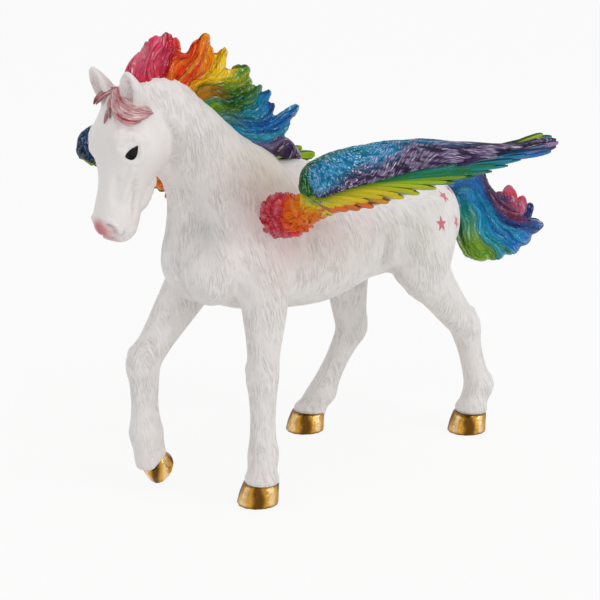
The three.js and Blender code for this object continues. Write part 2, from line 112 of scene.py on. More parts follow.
# The neck's crest, poll to withers: x, z, half width, half height
CREST = (
    (58.6, 112.6, 4.4, 2.6),
    (52, 113.8, 4.9, 2.9),
    (46, 112.8, 4.9, 2.9),
    (41, 110.4, 4.4, 2.6),
    (36, 106.6, 3, 2.1),
    (31, 102.8, 1.8, 1.7),
    (22, 95.8, 1.7, 1.7),
    (11, 90.4, 1.7, 1.7),
)

# Sculpted strokes on the left side and its mirror image: points, reach, height
SIDE_STROKES = (
    (((56, 9, 98),), 8, 0.5),
    (((52.2, 7.7, 106), (50.5, 8, 102.9), (49.8, 7.8, 100), (49.5, 7, 97), (49.6, 5.6, 94), (49.9, 4, 91.6)),
     2.3, -1.7),
    (((54.8, 8.2, 105.4), (53, 8.6, 102.6), (52.3, 8.5, 100), (52, 7.8, 97), (52.1, 6.6, 94.2)), 2.2, 0.5),
    (((56.6, 3, 84.3), (55.3, 3, 86.2), (53.6, 3, 88.3)), 3.4, 1.8),
    (((64, 2.6, 75.6), (61.6, 3, 77.4)), 2.6, 0.6),
    (((65.7, 6.7, 102), (64.3, 7.7, 102.9), (62.6, 8.6, 102.4), (61, 8.9, 101)), 1.7, 0.5),
    (((64.2, 6.9, 105.4), (61.8, 8.2, 104.9)), 1.9, -0.55),
    (((62.9, 7.4, 95.4), (63.6, 6.3, 92.6), (64.3, 5.3, 89.2), (65, 5, 86.6)), 1.3, 0.7),
    (((62.2, 5.8, 91), (61.7, 5.3, 86.9), (62.1, 5.2, 82.4)), 1.4, -0.85),
    (((66.8, 4.4, 92), (67.2, 4.2, 86.5)), 1.7, -0.5),
    (((67.2, 5.4, 103), (67.2, 5.6, 100.8), (66.6, 6, 98)), 2.6, 1),
    (((69.5, 2.2, 81.7), (68.9, 3.9, 81.3), (68.1, 5.1, 80.2), (67.4, 5.3, 78.8)), 1.1, 0.5),
    (((69.3, 2.7, 80.5), (68.8, 3.7, 80.2), (68.3, 4.3, 79.6), (67.9, 4.6, 78.6), (67.6, 3.8, 77.6)),
     0.75, -0.95),
    (((68.3, 0.4, 76.4), (67.4, 2.4, 76.4), (66.4, 3.8, 76.6), (65.6, 4.7, 77.2), (65.1, 5.3, 78.4)),
     0.7, -0.75),
    (((66.2, 4.9, 78.2),), 1.4, 0.35),
    (((63.9, 4.7, 77.1), (62.1, 4.9, 78.4)), 2, 0.4),
    (((48, 4.6, 87), (46.6, 5.4, 80), (46.4, 6, 74)), 6.5, -1.9),
    (((44, 8, 84), (42, 9, 78), (40.5, 9.6, 71)), 4, -0.3),
    (((51, 7, 108), (44, 9.2, 104), (36, 10.6, 95)), 3, -0.45),
    (((12, 10, 86), (24, 14.6, 77), (33, 14.6, 66)), 4.5, 0.6),
    (((8, 16, 80), (13, 18, 70), (18, 18.2, 60)), 3.2, -0.7),
    (((36, 13, 62), (34, 15, 56)), 2.6, -0.6),
    (((24, 18.8, 58),), 4.5, 0.6),
    (((-16.4, 15.8, 74), (-18.2, 16.6, 67), (-18.8, 15.6, 60), (-19, 14.4, 56)), 2.1, -0.9),
    (((-22.4, 17, 71), (-21.8, 17.6, 65), (-21.6, 16.6, 60), (-21.6, 15, 56)), 2.8, 0.8),
    (((-31, 19, 66), (-33, 18, 58)), 8, 0.6),
    (((-30, 18.6, 75), (-32, 20, 66)), 4.6, 0.35),
    (((-48, 16, 62), (-46, 17.8, 54)), 3, -0.5),
    (((-8, 17, 72), (2, 17.6, 70)), 9, 0.35),
)
# Sculpted strokes on the middle line or on one side only
MIDDLE_STROKES = (
    (((46.4, 0, 78), (47, 0, 70), (43.5, 0, 60), (38, 0, 54)), 2.4, -1.1),
    (((-22, 15, 53), (-26, 15.6, 48.5), (-30, 16, 44)), 4, -1.3),
    (((-53, 15, 51), (-51.6, 15, 46)), 4, -1.1),
    (((-59, 0, 66), (-58, 0, 58), (-50, 0, 52.5)), 2.4, -1.4),
    (((71.6, 0, 81), (69.6, 0, 76.6)), 0.8, -0.3),
    (((65.1, 2.1, 108.3), (65.5, 3.2, 107), (66.3, 5.3, 103.3)), 0.7, -0.4),
    (((65.2, 4.2, 107), (65.7, 5, 105.2)), 0.7, -0.3),
)
# The hollow of the left ear: points, reach, height, and then the way the ear faces
EAR_HOLLOW = (((63.2, 5.4, 111), (64, 6.3, 113.6), (64.4, 6.9, 116.2)), 2.4, -2.2)
EAR_FACING = Vector((0.99, 0.1, 0)).normalized()

# Ears, skull to tip, left one: x, y, z, half width, half thickness
EARS = (
    (60.4, 4.9, 108, 2.4, 2.2),
    (61.4, 5.5, 111.2, 3.6, 2),
    (62.3, 6.3, 114.2, 3.8, 1.7),
    (63, 6.9, 116.9, 2.9, 1.3),
    (63.5, 7.3, 118.7, 1.6, 0.9),
    (63.7, 7.5, 119.5, 0.6, 0.5),
)

# Printed stars on the rump: centre, the way the print faces, and its spin in degrees
STARS = (
    ((-44.2, 14.6, 73.7), (-0.05, 0.78, 0.62), 12),
    ((-37.3, 20, 67.3), (0.05, 0.96, 0.27), -6),
    ((-46.6, 17.7, 66.1), (-0.2, 0.95, 0.22), 20),
    ((-53, 10.2, 74.6), (-0.5, 0.6, 0.62), 0),
)

# Tints of the coat, the throat's being grey painted shade: centre, reach, strength
THROAT_SHADES = (
    ((42, 9, 77), 13, 0.42),
    ((43, 11, 71), 9, 0.28),
    ((45, 6, 88), 10, 0.25),
    ((46.4, 8, 97), 8, 0.32),
)
BLUSHES = (
    ((21, 17, 70), 12, 0.32),
    ((6, 17, 72), 22, 0.22),
    ((-12, 16, 74), 14, 0.16),
    ((62, 6, 114), 5, 0.3),
)
LIP_PINKS = (
    ((70.4, 0, 78), 6, 0.9),
    ((67.4, 2.4, 75.4), 3.2, 0.5),
    ((68.4, 4.4, 78.4), 3, 0.3),
)
# The warm withers and the smooth face: centre, reach
WARM_WITHERS = ((20, 12, 86), 20)
FACE = ((64, 2, 94), 25)
# Engraved strokes of the coat in millimetres, through the body as well, and their slant on the flanks
STROKE_WIDTH = 0.48
STROKE_LENGTH = 4.6
STROKE_THROUGH = 60
FLANK_SLANT = 0.2

# Areas of the skin that are smoothed on their own: limits in x and z
TRUNK_EDGE = (52, 53)
BARREL_EDGE = (49, 57)
SKULL_EDGE = (48, 74)
MUZZLE_EDGE = (63.5, 86)
HEAD_EDGE = (47, 74)
# Where an ear starts: its back, inner and lower limits
EAR_START = Vector((57, 2.6, 111))
# The ears' forward nod: its back, inner and lower limits, the ear's height above them, and the tip's shift
EAR_NOD_START = Vector((57, 1.6, 110))
EAR_NOD_RISE = 9.5
EAR_NOD = Vector((1.3, 0, -0.9))

# Mane lobes on the left, crest to tip, poll to withers: x and z, and half width
MANE = (
    (((59.8, 112.6), (57.8, 117.6), (54.6, 122.2)), 2.5),
    (((55.2, 112), (53.9, 118.6), (51.8, 122.8), (49.4, 125.4)), 2.9),
    (((52, 112.4), (50.3, 119), (48, 122.9), (46.6, 126.5)), 3),
    (((48.7, 112.4), (47.8, 118.8), (45.9, 122.2), (44.2, 125)), 2.3),
    (((50, 112.4), (47, 116.6), (43.9, 118.8), (41.2, 120.6)), 2.7),
    (((46.2, 112), (42, 115.8), (38.1, 119.6), (33.7, 125.5)), 3.1),
    (((42.9, 111.8), (38.4, 114.8), (35.1, 117.8), (32.6, 122.2)), 2.1),
    (((42.3, 112.7), (36.4, 113.8), (31.2, 116.4), (27.7, 121.4)), 2.9),
    (((40.3, 111.8), (32.7, 111.9), (25.6, 113.1), (19.6, 115.4)), 3.2),
    (((38.7, 110.3), (31.1, 109.6), (24.2, 110.2), (19.2, 112.4)), 2.6),
    (((37.4, 108.9), (30.4, 106.8), (23.6, 107.2), (17.8, 110.4)), 2.6),
    (((36.1, 107.8), (28.4, 104.7), (21.5, 105.5), (15.2, 110.6)), 2.7),
    (((34.7, 106.6), (27, 102.9), (19.2, 103.7), (12, 108.6)), 2.4),
    (((33.1, 104.9), (24.9, 101.1), (17.2, 101.2), (10.6, 105)), 2.9),
    (((31.4, 103.1), (22.1, 98.5), (12.2, 98.8), (1.8, 103.6)), 3),
    (((28.7, 100.7), (20, 96.5), (12.2, 96.7), (4.8, 99.6)), 2.5),
    (((23, 95.6), (15, 94.8), (7.8, 93), (0.9, 88.8)), 3),
)
# Where the mane lies across the crest: at the lower roots and at the tip
MANE_LEAN = (3.1, 1.2)
# Where a mane lobe's root goes on inside the neck
MANE_ROOT = Vector((1.8, 0, -3.6))
# The right side's lobes lie a little lower and further back
FAR_LOBES = Vector((-2.4, 0, -0.7))

# Forelock strands, poll to tip
FORELOCK = (
    ((61.6, -0.6, 113.2), (63.2, 1.9, 111.8), (63.3, 4.6, 110.7),
     (61.8, 6.6, 110), (59.8, 7.9, 109.2), (57.6, 7.6, 108.3)),
    ((61.6, -1.2, 113.4), (63.7, 0.2, 112), (64.6, 2.7, 110.4),
     (63.8, 4.9, 109.8), (60.3, 7.7, 108.5), (57.2, 7.7, 107.8)),
    ((61.7, -0.8, 113.4), (64.4, 1.2, 111), (64.9, 3.6, 109.2),
     (63.6, 5.9, 108.3), (61.8, 7.4, 107.8), (58.2, 8, 107.6)),
    ((62.4, -0.4, 113), (65.1, 2.3, 109.6), (65, 4.8, 108),
     (63.8, 6.9, 107.3), (61.3, 8, 107.3), (58.8, 8, 107.4)),
    ((62.6, 0.2, 112.6), (65.4, 2.9, 108.8), (65.2, 5.2, 107.2), (63.6, 7.2, 106.3), (61.2, 8.1, 106.4)),
    ((61.6, -0.6, 113.4), (62.3, -3.2, 113.2), (63, -5.2, 112.2), (64.2, -6.4, 110.6), (64.9, -6.6, 109.2)),
    ((61.8, -0.6, 113.2), (63, -3, 112.6), (63.9, -4.8, 111.4), (64.6, -6, 110)),
    ((62, -0.4, 113), (63.6, -2.6, 112), (64.8, -4.2, 110.6), (65.4, -5, 109.4)),
    ((62.4, -1, 112.9), (64.6, -0.2, 110.8), (65.7, 0.9, 108.6), (66.4, 2, 106.8)),
    ((62.8, -0.6, 112.6), (65, 0.6, 110), (66.3, 0.6, 107.6), (67, 0.4, 105.4)),
)
# Width of each strand as a share of the tuft width, and the strands that end in red
FORELOCK_SIZES = (0.9, 1.05, 1.1, 1.05, 0.85, 0.52, 0.5, 0.4, 0.45, 0.4)
RED_STRANDS = (5, 6)

# Tail lobes on the left, dock to tip: x and z, and half width
TAIL = (
    (((-64.2, 73.2), (-68.2, 64.1), (-69.9, 56.8), (-73.8, 50.9), (-80.6, 46.9)), 3.1),
    (((-65.5, 73.7), (-72.2, 65.1), (-75.6, 57.2), (-81.9, 50.4), (-88.4, 46.2)), 4),
    (((-68.3, 73.9), (-75.5, 65), (-80.9, 57.1), (-88.9, 50.8), (-96, 47.6)), 4),
    (((-70.2, 74.3), (-77.4, 65.3), (-84.8, 58.1), (-93.8, 52.4), (-102, 50)), 3.6),
    (((-72.1, 73.4), (-79.9, 64.4), (-88.8, 58.2), (-99.3, 54.1), (-108.2, 53.4)), 2.7),
    (((-66, 73.8), (-74.6, 72.1), (-82.2, 63.4), (-90.2, 58.2), (-97.4, 57.8), (-102.2, 61.4)), 2.2),
    (((-63.5, 74.4), (-72.1, 74.4), (-79.8, 66), (-86.7, 60.8), (-93.9, 60), (-97.8, 64.4)), 3.3),
    (((-62, 74.8), (-72.2, 75.4), (-78, 68.4), (-83.4, 63.7), (-89, 64), (-90.4, 69.2)), 3.3),
)
# Where the tail lies to the left of the middle: at the dock and at the tips
TAIL_LEAN = (2.2, 1.5)
# The first of the lobes that curl up, which are shorter on the right
TAIL_CURLS = 5
# The dock that the lobes grow from: x and z, then half width and half thickness
TAIL_DOCK = ((-50, 72.5), (-57, 73.6), (-64, 73.4), (-70, 71))
DOCK_SIZES = (3.2, 3.8)
# Lanes of cuts to a millimetre over the narrow edges of the mane and tail
EDGE_CUTS = 0.22

# Material slots of a wing, after the feathers' own slot 0
COVERT_SLOT, SCALE_SLOT = 1, 2
# Left wing arm, shoulder to wrist: x, y, z, half height, outer and inner half thickness
WING_ARM = (
    (20, 11.5, 75, 3.4, 3.4, 3.4),
    (23.2, 16, 78, 5, 4.6, 4.6),
    (25.2, 20.8, 79.2, 5.2, 4.6, 4.6),
    (28.5, 30, 81.6, 4.5, 4.2, 4.2),
    (33, 39, 86.4, 3.2, 3.6, 3.8),
    (37, 45, 91, 2.4, 2.8, 2.8),
)
# Where the short feathers of the left arm end, shoulder to wrist
ARM_TIPS = ((24.6, 29, 77.8), (22.8, 34.4, 80.8), (20.6, 40, 83.8))
# How many there are in a row, how far each row is lifted, and where a root lies from its tip
ARM_FEATHERS = 7
ARM_ROWS = ((0, 0, 0), (3, 1.4, 2.6))
ARM_FEATHER_ROOT = Vector((5, 0.4, 2.8))
# How far the right arm arches above the left one's line, station by station
FAR_ARCH = (0, 0.6, 2, 6.4, 3, -2.2)
# How far the right wing's front hangs below the left one's
FAR_DROOP = 2.8
# The arm's length and mean radius, and how far along the rainbow the right arm starts
ARM_LENGTH = 52
ARM_RADIUS = 5
FAR_SHIFT = 0.3
# Left wing covert pad, wrist to tip: x, y, z, half height, outer and inner half thickness
WING_PAD = (
    (42.4, 45.8, 92, 1.6, 1.2, 1.2),
    (39, 45.8, 93, 5.4, 2.8, 2.8),
    (31, 46, 94.4, 5.8, 3.4, 3.2),
    (21, 47.6, 95.4, 5.7, 3.4, 3.2),
    (9, 50.6, 96.4, 4.8, 3, 2.8),
    (-4, 54.6, 96.3, 3.3, 2.4, 2.2),
    (-18, 58.8, 96.2, 1.8, 1.6, 1.6),
    (-28, 60.6, 97.4, 1.2, 1, 1),
    (-33, 61.4, 97.6, 0.5, 0.4, 0.4),
)

# Left wing flight feathers, innermost first: root and tip
FEATHERS = (
    ((24, 20, 79.5), (2, 20.5, 80)),
    ((25, 24, 80), (-2, 24, 79.6)),
    ((27, 29, 81.5), (-4, 27, 79.6)),
    ((29, 35, 83), (10, 34, 81)),
    ((33, 40, 86), (0, 30.5, 80)),
    ((34, 43, 88), (-9.5, 28.5, 80)),
    ((31, 45, 89), (-18, 26.5, 80.5)),
    ((26, 46, 90), (-28, 25, 80.5)),
    ((21, 47, 91), (-32, 29, 82.5)),
    ((16, 48, 92), (-33, 34, 84.5)),
    ((10, 50, 93), (-35, 40, 87)),
    ((4, 52, 94), (-36, 46, 89)),
    ((-3, 54, 94.5), (-35.5, 51, 90.8)),
    ((-9, 56, 95), (-34.5, 56, 92.4)),
    ((-14, 58, 95.5), (-33.5, 60, 94.5)),
)
# Long feathers of the left wing's tip, uppermost first: root and tip
TIP_FEATHERS = (
    ((-17, 58.6, 96.6), (-30.4, 60.8, 98.9)),
    ((-10, 57, 96.6), (-33.6, 61.2, 98)),
    ((-8, 56.6, 96.2), (-35, 61.6, 97.1)),
    ((-6, 56.6, 95.6), (-36, 61.6, 96.2)),
    ((-4, 56.4, 94.8), (-35.6, 61.2, 95.2)),
    ((-2, 55.6, 94), (-34.6, 60.4, 94)),
)
# How far the hanging feathers drop below the covert pad: place along it, drop
FRINGE_DROPS = ((0, 2.6), (0.25, 4.4), (0.45, 4.3), (0.6, 3.2), (0.78, 2), (1, 1))
FRINGE_COUNT = 17
# Rows of hanging feathers, inner first: share of the drop, root's lead, inward set, offset in feathers
FRINGE_ROWS = ((1.25, 0.18, 0.9, 0.5), (0.94, 0.18, 0, 0), (0.52, 0.14, -0.4, 0.6))
# The way the upper face of the fan looks
FEATHER_FACE = Vector((0, -0.4, 0.92)).normalized()
# Two broad inner feathers of the right wing, drawn on the left: root, tip and half width
FAR_FEATHERS = (
    ((-10, 28, 82.4), (-33, 28.5, 82), 1.7),
    ((-8, 30, 84.4), (-28.6, 29.6, 84.4), 1.2),
)
# Coverts over each flight feather: upper or lower face, share of its length, lift above it
COVERTS = ((1, 0.62, 0.6), (-1, 0.6, 0.6), (-1, 0.34, 1.1), (1, 0.36, 1.1))
COVERT_DROOP = 0.4
# How much shorter the feathers in the middle of the fan are
FAN_TRIM = 0.09

# Specular level of the gloss paints and of the eyes
PAINT_GLOSS = 0.12
EYE_GLOSS = 0.1
# The way that the faces with painted highlight dashes turn, on either side
PAINTED_GLINT_FACING = (0.3, 0.7, 0.65)
# Painted reflection bands round a hoof, and the pale gold of their painted highlights
HOOF_BANDS = 4
PALE_GOLD = (1, 0.9, 0.62)
# Studio, in metres from the aim point: place and size of the main and fill lights
KEY_LIGHT = ((0, 0.55, 0.8), 0.4)
FILL_LIGHT = ((-0.3, 0.95, 0.2), 0.7)
FLOOR_RADIUS = 6
# Share of plain white in the floor as it is looked at, the rest being lit and shadowed
FLOOR_GLOW = 0.88
# Small lights that show the gloss: place, share of power
GLINTS = (((-0.35, 0.95, 0.35), 1.5), ((-0.1, 0.35, 1), 1), ((0.6, 0.65, 0.7), 0.8), ((0.9, 0.4, 0.4), 0.5))
GLINT_SIZE = 0.08
# Width of the camera's sensor in millimetres
SENSOR = 36


def hue(code):
    """Linear colour of a hex code, as a paint is mixed."""
    channels = [int(code[i : i + 2], 16) / 255 for i in (0, 2, 4)]
    return tuple(c / 12.92 if c <= 0.04045 else ((c + 0.055) / 1.055) ** 2.4 for c in channels)


def paint_prop(name, code, description):
    """A colour that the user can change."""
    return bpy.props.FloatVectorProperty(
        name=name, description=description, subtype="COLOR", size=3, min=0, max=1, default=hue(code)
    )


def length_prop(name, millimetres, description):
    """A length that the user can change."""
    return bpy.props.FloatProperty(
        name=name, description=description, subtype="DISTANCE", unit="LENGTH", min=0, default=millimetres * MM
    )


class CoatSettings(bpy.types.PropertyGroup):
    """Sizes and paints of the coat"""

    detail: length_prop("Detail", 0.66, "Spacing of the sculpted skin")
    swell: length_prop("Swell", 0.12, "Growth of the mouldings that closes the seams between them")
    star: length_prop("Star", 2.55, "Radius of a printed star")
    cream: paint_prop("Cream", "f1ecea", "Main coat")
    # The grey is mostly painted shade on the throat, in hollows and in the engraved strokes, with a little
    # random tone
    shade_and_tone: paint_prop("Wash", "a9a5a3", "Thin grey wash in hollows and strokes")
    ivory: paint_prop("Ivory", "eee4cf", "Warm tint near the withers")
    blush: paint_prop("Blush", "eec9cf", "Pink tint by the wing root and the ears")
    muzzle: paint_prop("Muzzle", "cf5c6a", "Pink of the lips and nostrils")
    stars: paint_prop("Stars", "d4707a", "Printed stars")


class HairSettings(bpy.types.PropertyGroup):
    """Sizes of the hair, and the rainbow paints"""

    mane_depth: length_prop("Mane depth", 2.2, "Half thickness of a mane lobe across the crest")
    tail_depth: length_prop("Tail depth", 2.7, "Half thickness of a tail lobe")
    tuft_width: length_prop("Tuft width", 1.25, "Half width of a forelock tuft")
    detail: length_prop("Detail", 0.36, "Spacing of the moulded hair's skin")
    groove: length_prop("Groove", 0.6, "Depth of the cuts combed along the mane and tail")
    wave: length_prop("Wave", 0.9, "Height of the broad folds along the mane and tail")
    rose: paint_prop("Rose", "ea4468", "First mane lock")
    crimson: paint_prop("Crimson", "d8141e", "Mane by the poll and wing root")
    scarlet: paint_prop("Scarlet", "f8430a", "Mane behind the poll")
    orange: paint_prop("Orange", "ff880c", "Mane on the crest")
    yellow: paint_prop("Yellow", "fdcf0e", "Mane at mid neck and inner feathers")
    lime: paint_prop("Lime", "a2c80c", "Mane at mid neck and lower feathers")
    green: paint_prop("Green", "1d7414", "Mane and tail green")
    teal: paint_prop("Teal", "009099", "Mane and tail teal")
    blue: paint_prop("Blue", "007cd2", "Mane, tail and wing blue")
    navy: paint_prop("Navy", "0c2f78", "Dark ends of the tail")
    violet: paint_prop("Violet", "432a58", "Purple of the last mane lock, the tail and the wing")
    lilac: paint_prop("Lilac", "9d88b4", "Pale strokes on the purple")
    coral: paint_prop("Coral", "ee5060", "Curled ends of the upper tail")
    blossom: paint_prop("Blossom", "fbdada", "Forelock")
    sky: paint_prop("Sky", "38bce8", "Light blue streaks in the mane and tail")


class WingSettings(bpy.types.PropertyGroup):
    """Sizes of the feathers and scales"""

    feather_width: length_prop("Feather width", 2.7, "Half width of a flight feather")
    feather_thickness: length_prop("Feather thickness", 0.55, "Half thickness of a flight feather")
    finger_width: length_prop("Finger width", 0.95, "Half width of a feather that hangs from the covert pad")
    scale_width: length_prop("Scale width", 3.4, "Width of a scale on the arm")
    scale_depth: length_prop("Scale depth", 2.1, "Relief of the scales on the arm")
    stroke: length_prop("Stroke", 0.42, "Depth of the short strokes cut in the covert pad")


class FittingSettings(bpy.types.PropertyGroup):
    """Hooves and eyes"""

    hoof_detail: length_prop("Hoof detail", 0.3, "Spacing of the hoof skin")
    gold: paint_prop("Gold", "d9a244", "Metallic paint of the hooves")
    # Bronze for the painted dark reflections and painted shade of the hooves, and their random mottle
    bronze: paint_prop("Bronze", "4a2c0a", "Dark patina at the rims of the hooves")
    eye: paint_prop("Eye", "0a0908", "Gloss black of the eyes")


class StageSettings(bpy.types.PropertyGroup):
    """Camera, lights and floor"""

    distance: length_prop("Camera distance", 450, "From the aim point to the camera")
    aim: length_prop("Aim height", 47.5, "Height of the aim point over the drawing's datum")
    azimuth: bpy.props.FloatProperty(
        name="Azimuth", description="Camera's turn from the way the horse faces", subtype="ANGLE",
        default=math.radians(46.77),
    )
    elevation: bpy.props.FloatProperty(
        name="Elevation", description="Camera's rise above the horizon", subtype="ANGLE",
        default=math.radians(15.28),
    )
    lens: bpy.props.FloatProperty(
        name="Lens", description="Focal length in millimetres on a 36 mm sensor", default=94.5
    )
    key: bpy.props.FloatProperty(name="Key", description="Main light", unit="POWER", default=0.5)
    fill: bpy.props.FloatProperty(name="Fill", description="Fill light", unit="POWER", default=1.05)
    glint: bpy.props.FloatProperty(
        name="Glint", description="Small lights for the gloss", unit="POWER", default=0.42
    )
    sky: bpy.props.FloatProperty(name="Sky", description="Strength of the light all round", default=0.66)
    floor: paint_prop("Floor", "f4f4f2", "Floor under the figurine")


SETTINGS = {
    "pegasus_coat": CoatSettings,
    "pegasus_hair": HairSettings,
    "pegasus_wing": WingSettings,
    "pegasus_fittings": FittingSettings,
    "pegasus_stage": StageSettings,
}


def spot(x, y, z):
    """A place on the horse, from the drawing to the frame."""
    return DATUM + Vector((x, y, z)) * MM


def mirrored(point):
    """The same place on the other side of the horse."""
    return Vector((point.x, -point.y, point.z))


def eye_place(front, up, out=0.0):
    """A place in the left eye's own axes."""
    return spot(*EYE) + (EYE_FRONT * front + EYE_UP * up + EYE_OUT * out) * MM


def mixed(first, second, share):
    """Two paints, blended."""
    share = min(max(share, 0), 1)
    return [a + (b - a) * share for a, b in zip(first, second)]


def graded(stops, place):
    """The paint at a place along stops of (place, paint)."""
    for (start, first), (end, second) in zip(stops, stops[1:]):
        if place <= end:
            return mixed(first, second, (place - start) / (end - start))
    return stops[-1][1]


def eased(low, high, value):
    """0 below low, 1 above high, and a smooth step between."""
    share = min(max((value - low) / (high - low), 0), 1)
    return share * share * (3 - 2 * share)


def drift(place):
    """A smooth shift that differs from place to place."""
    return Vector([noise.noise(place + Vector((7.3, 1.9, 4.1)) * step) for step in range(3)])


def even(count):
    """Evenly spaced places from 0 to 1."""
    return [step / (count - 1) for step in range(count)]


def flow(points, places):
    """Places, counted from 0 to 1, on a smooth line through the points."""
    points = [Vector(point) for point in points]
    ends = [2 * points[0] - points[1], *points, 2 * points[-1] - points[-2]]
    found = []
    for place in places:
        run = place * (len(points) - 1)
        i = min(int(run), len(points) - 2)
        u = run - i
        a, b, c, d = ends[i : i + 4]
        cubic = 3 * b - a - 3 * c + d
        found.append((2 * b + (c - a) * u + (2 * a - 5 * b + 4 * c - d) * u * u + cubic * u**3) / 2)
    return found


def leaning(line, root, tip):
    """A lobe's line of x and z, moved left by an amount that runs from its root's to its tip's."""
    return [Vector((x, root + (tip - root) * share, z)) for (x, z), share in zip(line, even(len(line)))]


def section(centre, across, over, ahead):
    """Matrix that lays the unit circle down as one ring of a loft."""
    matrix = Matrix((across, over, ahead)).transposed().to_4x4()
    matrix.translation = centre
    return matrix


def headings(path):
    """Unit directions along a path, one for each place."""
    last = len(path) - 1
    return [(path[min(i + 1, last)] - path[max(i - 1, 0)]).normalized() for i in range(last + 1)]


def square_to(direction, ahead):
    """A direction turned square to the way ahead."""
    return (direction - ahead * direction.dot(ahead)).normalized()


def new_plumage():
    """A working mesh whose vertices carry paint, ridge height and a place along the strand."""
    mesh = bmesh.new()
    mesh.verts.layers.float_color.new("paint")
    mesh.verts.layers.float.new("ridge")
    mesh.verts.layers.float_vector.new("vane")
    return mesh


def move_into(piece, part):
    """Moves a small working mesh into a piece."""
    carrier = bpy.data.meshes.new("working")
    part.to_mesh(carrier)
    part.free()
    piece.from_mesh(carrier)
    bpy.data.meshes.remove(carrier)


def strand(piece, rings, sides, finish, slot=0):
    """Lofts a closed tube through ring matrices and adds it to a piece.

    finish(t, angle) gives the share of the radius, the ridge height, the paint and the vane there.
    """
    part = new_plumage()
    paint = part.verts.layers.float_color["paint"]
    ridge = part.verts.layers.float["ridge"]
    vane = part.verts.layers.float_vector["vane"]
    loop = bmesh.ops.create_circle(part, segments=sides, radius=1)["verts"]
    angles = [math.atan2(vert.co.y, vert.co.x) for vert in loop]
    bmesh.ops.transform(part, matrix=rings[0], verts=loop)
    edges = part.edges[:]
    bmesh.ops.edgeloop_fill(part, edges=edges)
    loops = [loop]
    for before, after in zip(rings, rings[1:]):
        made = bmesh.ops.extrude_edge_only(part, edges=edges)["geom"]
        loop = [item for item in made if isinstance(item, bmesh.types.BMVert)]
        edges = [item for item in made if isinstance(item, bmesh.types.BMEdge)]
        bmesh.ops.transform(part, matrix=after @ before.inverted(), verts=loop)
        loops.append(loop)
    bmesh.ops.edgeloop_fill(part, edges=edges)
    for i, (loop, ring) in enumerate(zip(loops, rings)):
        for vert, angle in zip(loop, angles):
            share, height, colour, place = finish(i / (len(rings) - 1), angle)
            vert.co = ring.translation.lerp(vert.co, share)
            vert[ridge] = height
            vert[paint] = (*colour, 1)
            vert[vane] = place
    for face in part.faces:
        face.material_index = slot
    bmesh.ops.recalc_face_normals(part, faces=part.faces)
    move_into(piece, part)


def plain(t, angle):
    """The finish of a strand that only lends its shape to a skin."""
    return 1, 0, (0, 0, 0), (0, 0, 0)


def forelock_strand(piece, spine, width, stops, seed, streak):
    """One thick strand of engraved hair, root to round tip, streaked along its length."""
    count, sides = 30, 40
    fineness, groove = 1.3, 0.34
    places = [1 - (1 - step) ** 1.5 for step in even(count)]
    path = flow([spot(*point) for point in spine], places)
    length = sum((b - a).length for a, b in zip(path, path[1:])) / MM
    rings = []
    for t, place, ahead in zip(places, path, headings(path)):
        across = square_to(LEFT, ahead)
        over = ahead.cross(across)
        round_tip = math.sqrt(max(1 - max((t - 0.55) / 0.452, 0) ** 2.4, 0))
        full = (0.6 + 0.4 * eased(0, 0.5, t)) * (1 - 0.25 * eased(0.5, 1, t)) * round_tip + 0.02
        rings.append(section(place, across * width * full, over * width * full, ahead))

    def finish(step, angle):
        t = places[round(step * (count - 1))]
        sway = angle + 0.55 * math.sin(t * 4.2 + seed * 2.1)
        lane = Vector((math.cos(sway), math.sin(sway), 0))
        comb_mark = lane * fineness + UP * (t * length * 0.05 + seed * 7.31)
        crest = min(abs(noise.noise(comb_mark)) * 3, 1) ** 0.65
        colour = graded(stops, t + 0.1 * noise.noise(lane * 1.4 + UP * seed))
        brush_mark = lane * 1.5 + UP * (t * length * 0.045 + seed * 5.1)
        colour = mixed(colour, streak, 0.8 * eased(0.24, 0.4, noise.noise(brush_mark)))
        return 1 - groove * (1 - crest), crest, colour, lane * 3.2 + UP * (t * length * 0.2 + seed * 3.7)

    strand(piece, rings, sides, finish)


def lobe_core(piece, spine, width, depth, blunt):
    """The plain body of one lobe of hair, root to tip, blunt or pointed."""
    places = [1 - (1 - step) ** 1.5 for step in even(26)]
    path = flow([spot(*point) for point in spine], places)
    rings = []
    for t, place, ahead in zip(places, path, headings(path)):
        across = square_to(LEFT, ahead)
        over = ahead.cross(across)
        start = 0.5 + 0.36 * blunt
        round_tip = math.sqrt(max(1 - max((t - start) / (1.003 - start), 0) ** (2 - 0.3 * (1 - blunt)), 0))
        full = (0.72 + 0.28 * eased(0, 0.5, t)) * round_tip + 0.02
        rings.append(section(place, across * depth * full * MM, over * width * full * MM, ahead))
    strand(piece, rings, 22, plain)


def comb(lobes, turn):
    """A function that finds a place's lane across the lobes, its share along them and its run."""
    marks = []
    for lane, spine, width in lobes:
        path = flow([spot(*point) for point in spine], even(28))
        run = 0
        for i, (t, place, ahead) in enumerate(zip(even(28), path, headings(path))):
            run += (place - path[max(i - 1, 0)]).length / MM
            marks.append((place, lane, t, run, ahead.cross(LEFT).normalized() * turn, width * MM))
    tree = KDTree(len(marks))
    for index, mark in enumerate(marks):
        tree.insert(mark[0], index)
    tree.balance()

    def find(place):
        lane = share = run = total = 0
        for where, index, apart in tree.find_n(place, 12):
            _, own, t, length, over, width = marks[index]
            weight = 1 / (apart / MM + 0.5) ** 3
            aside = min(max((place - where).dot(over) / width, -1.6), 1.6)
            lane += weight * (own + aside / 2)
            share += weight * t
            run += weight * length
            total += weight
        return lane / total, share / total, run / total

    return find


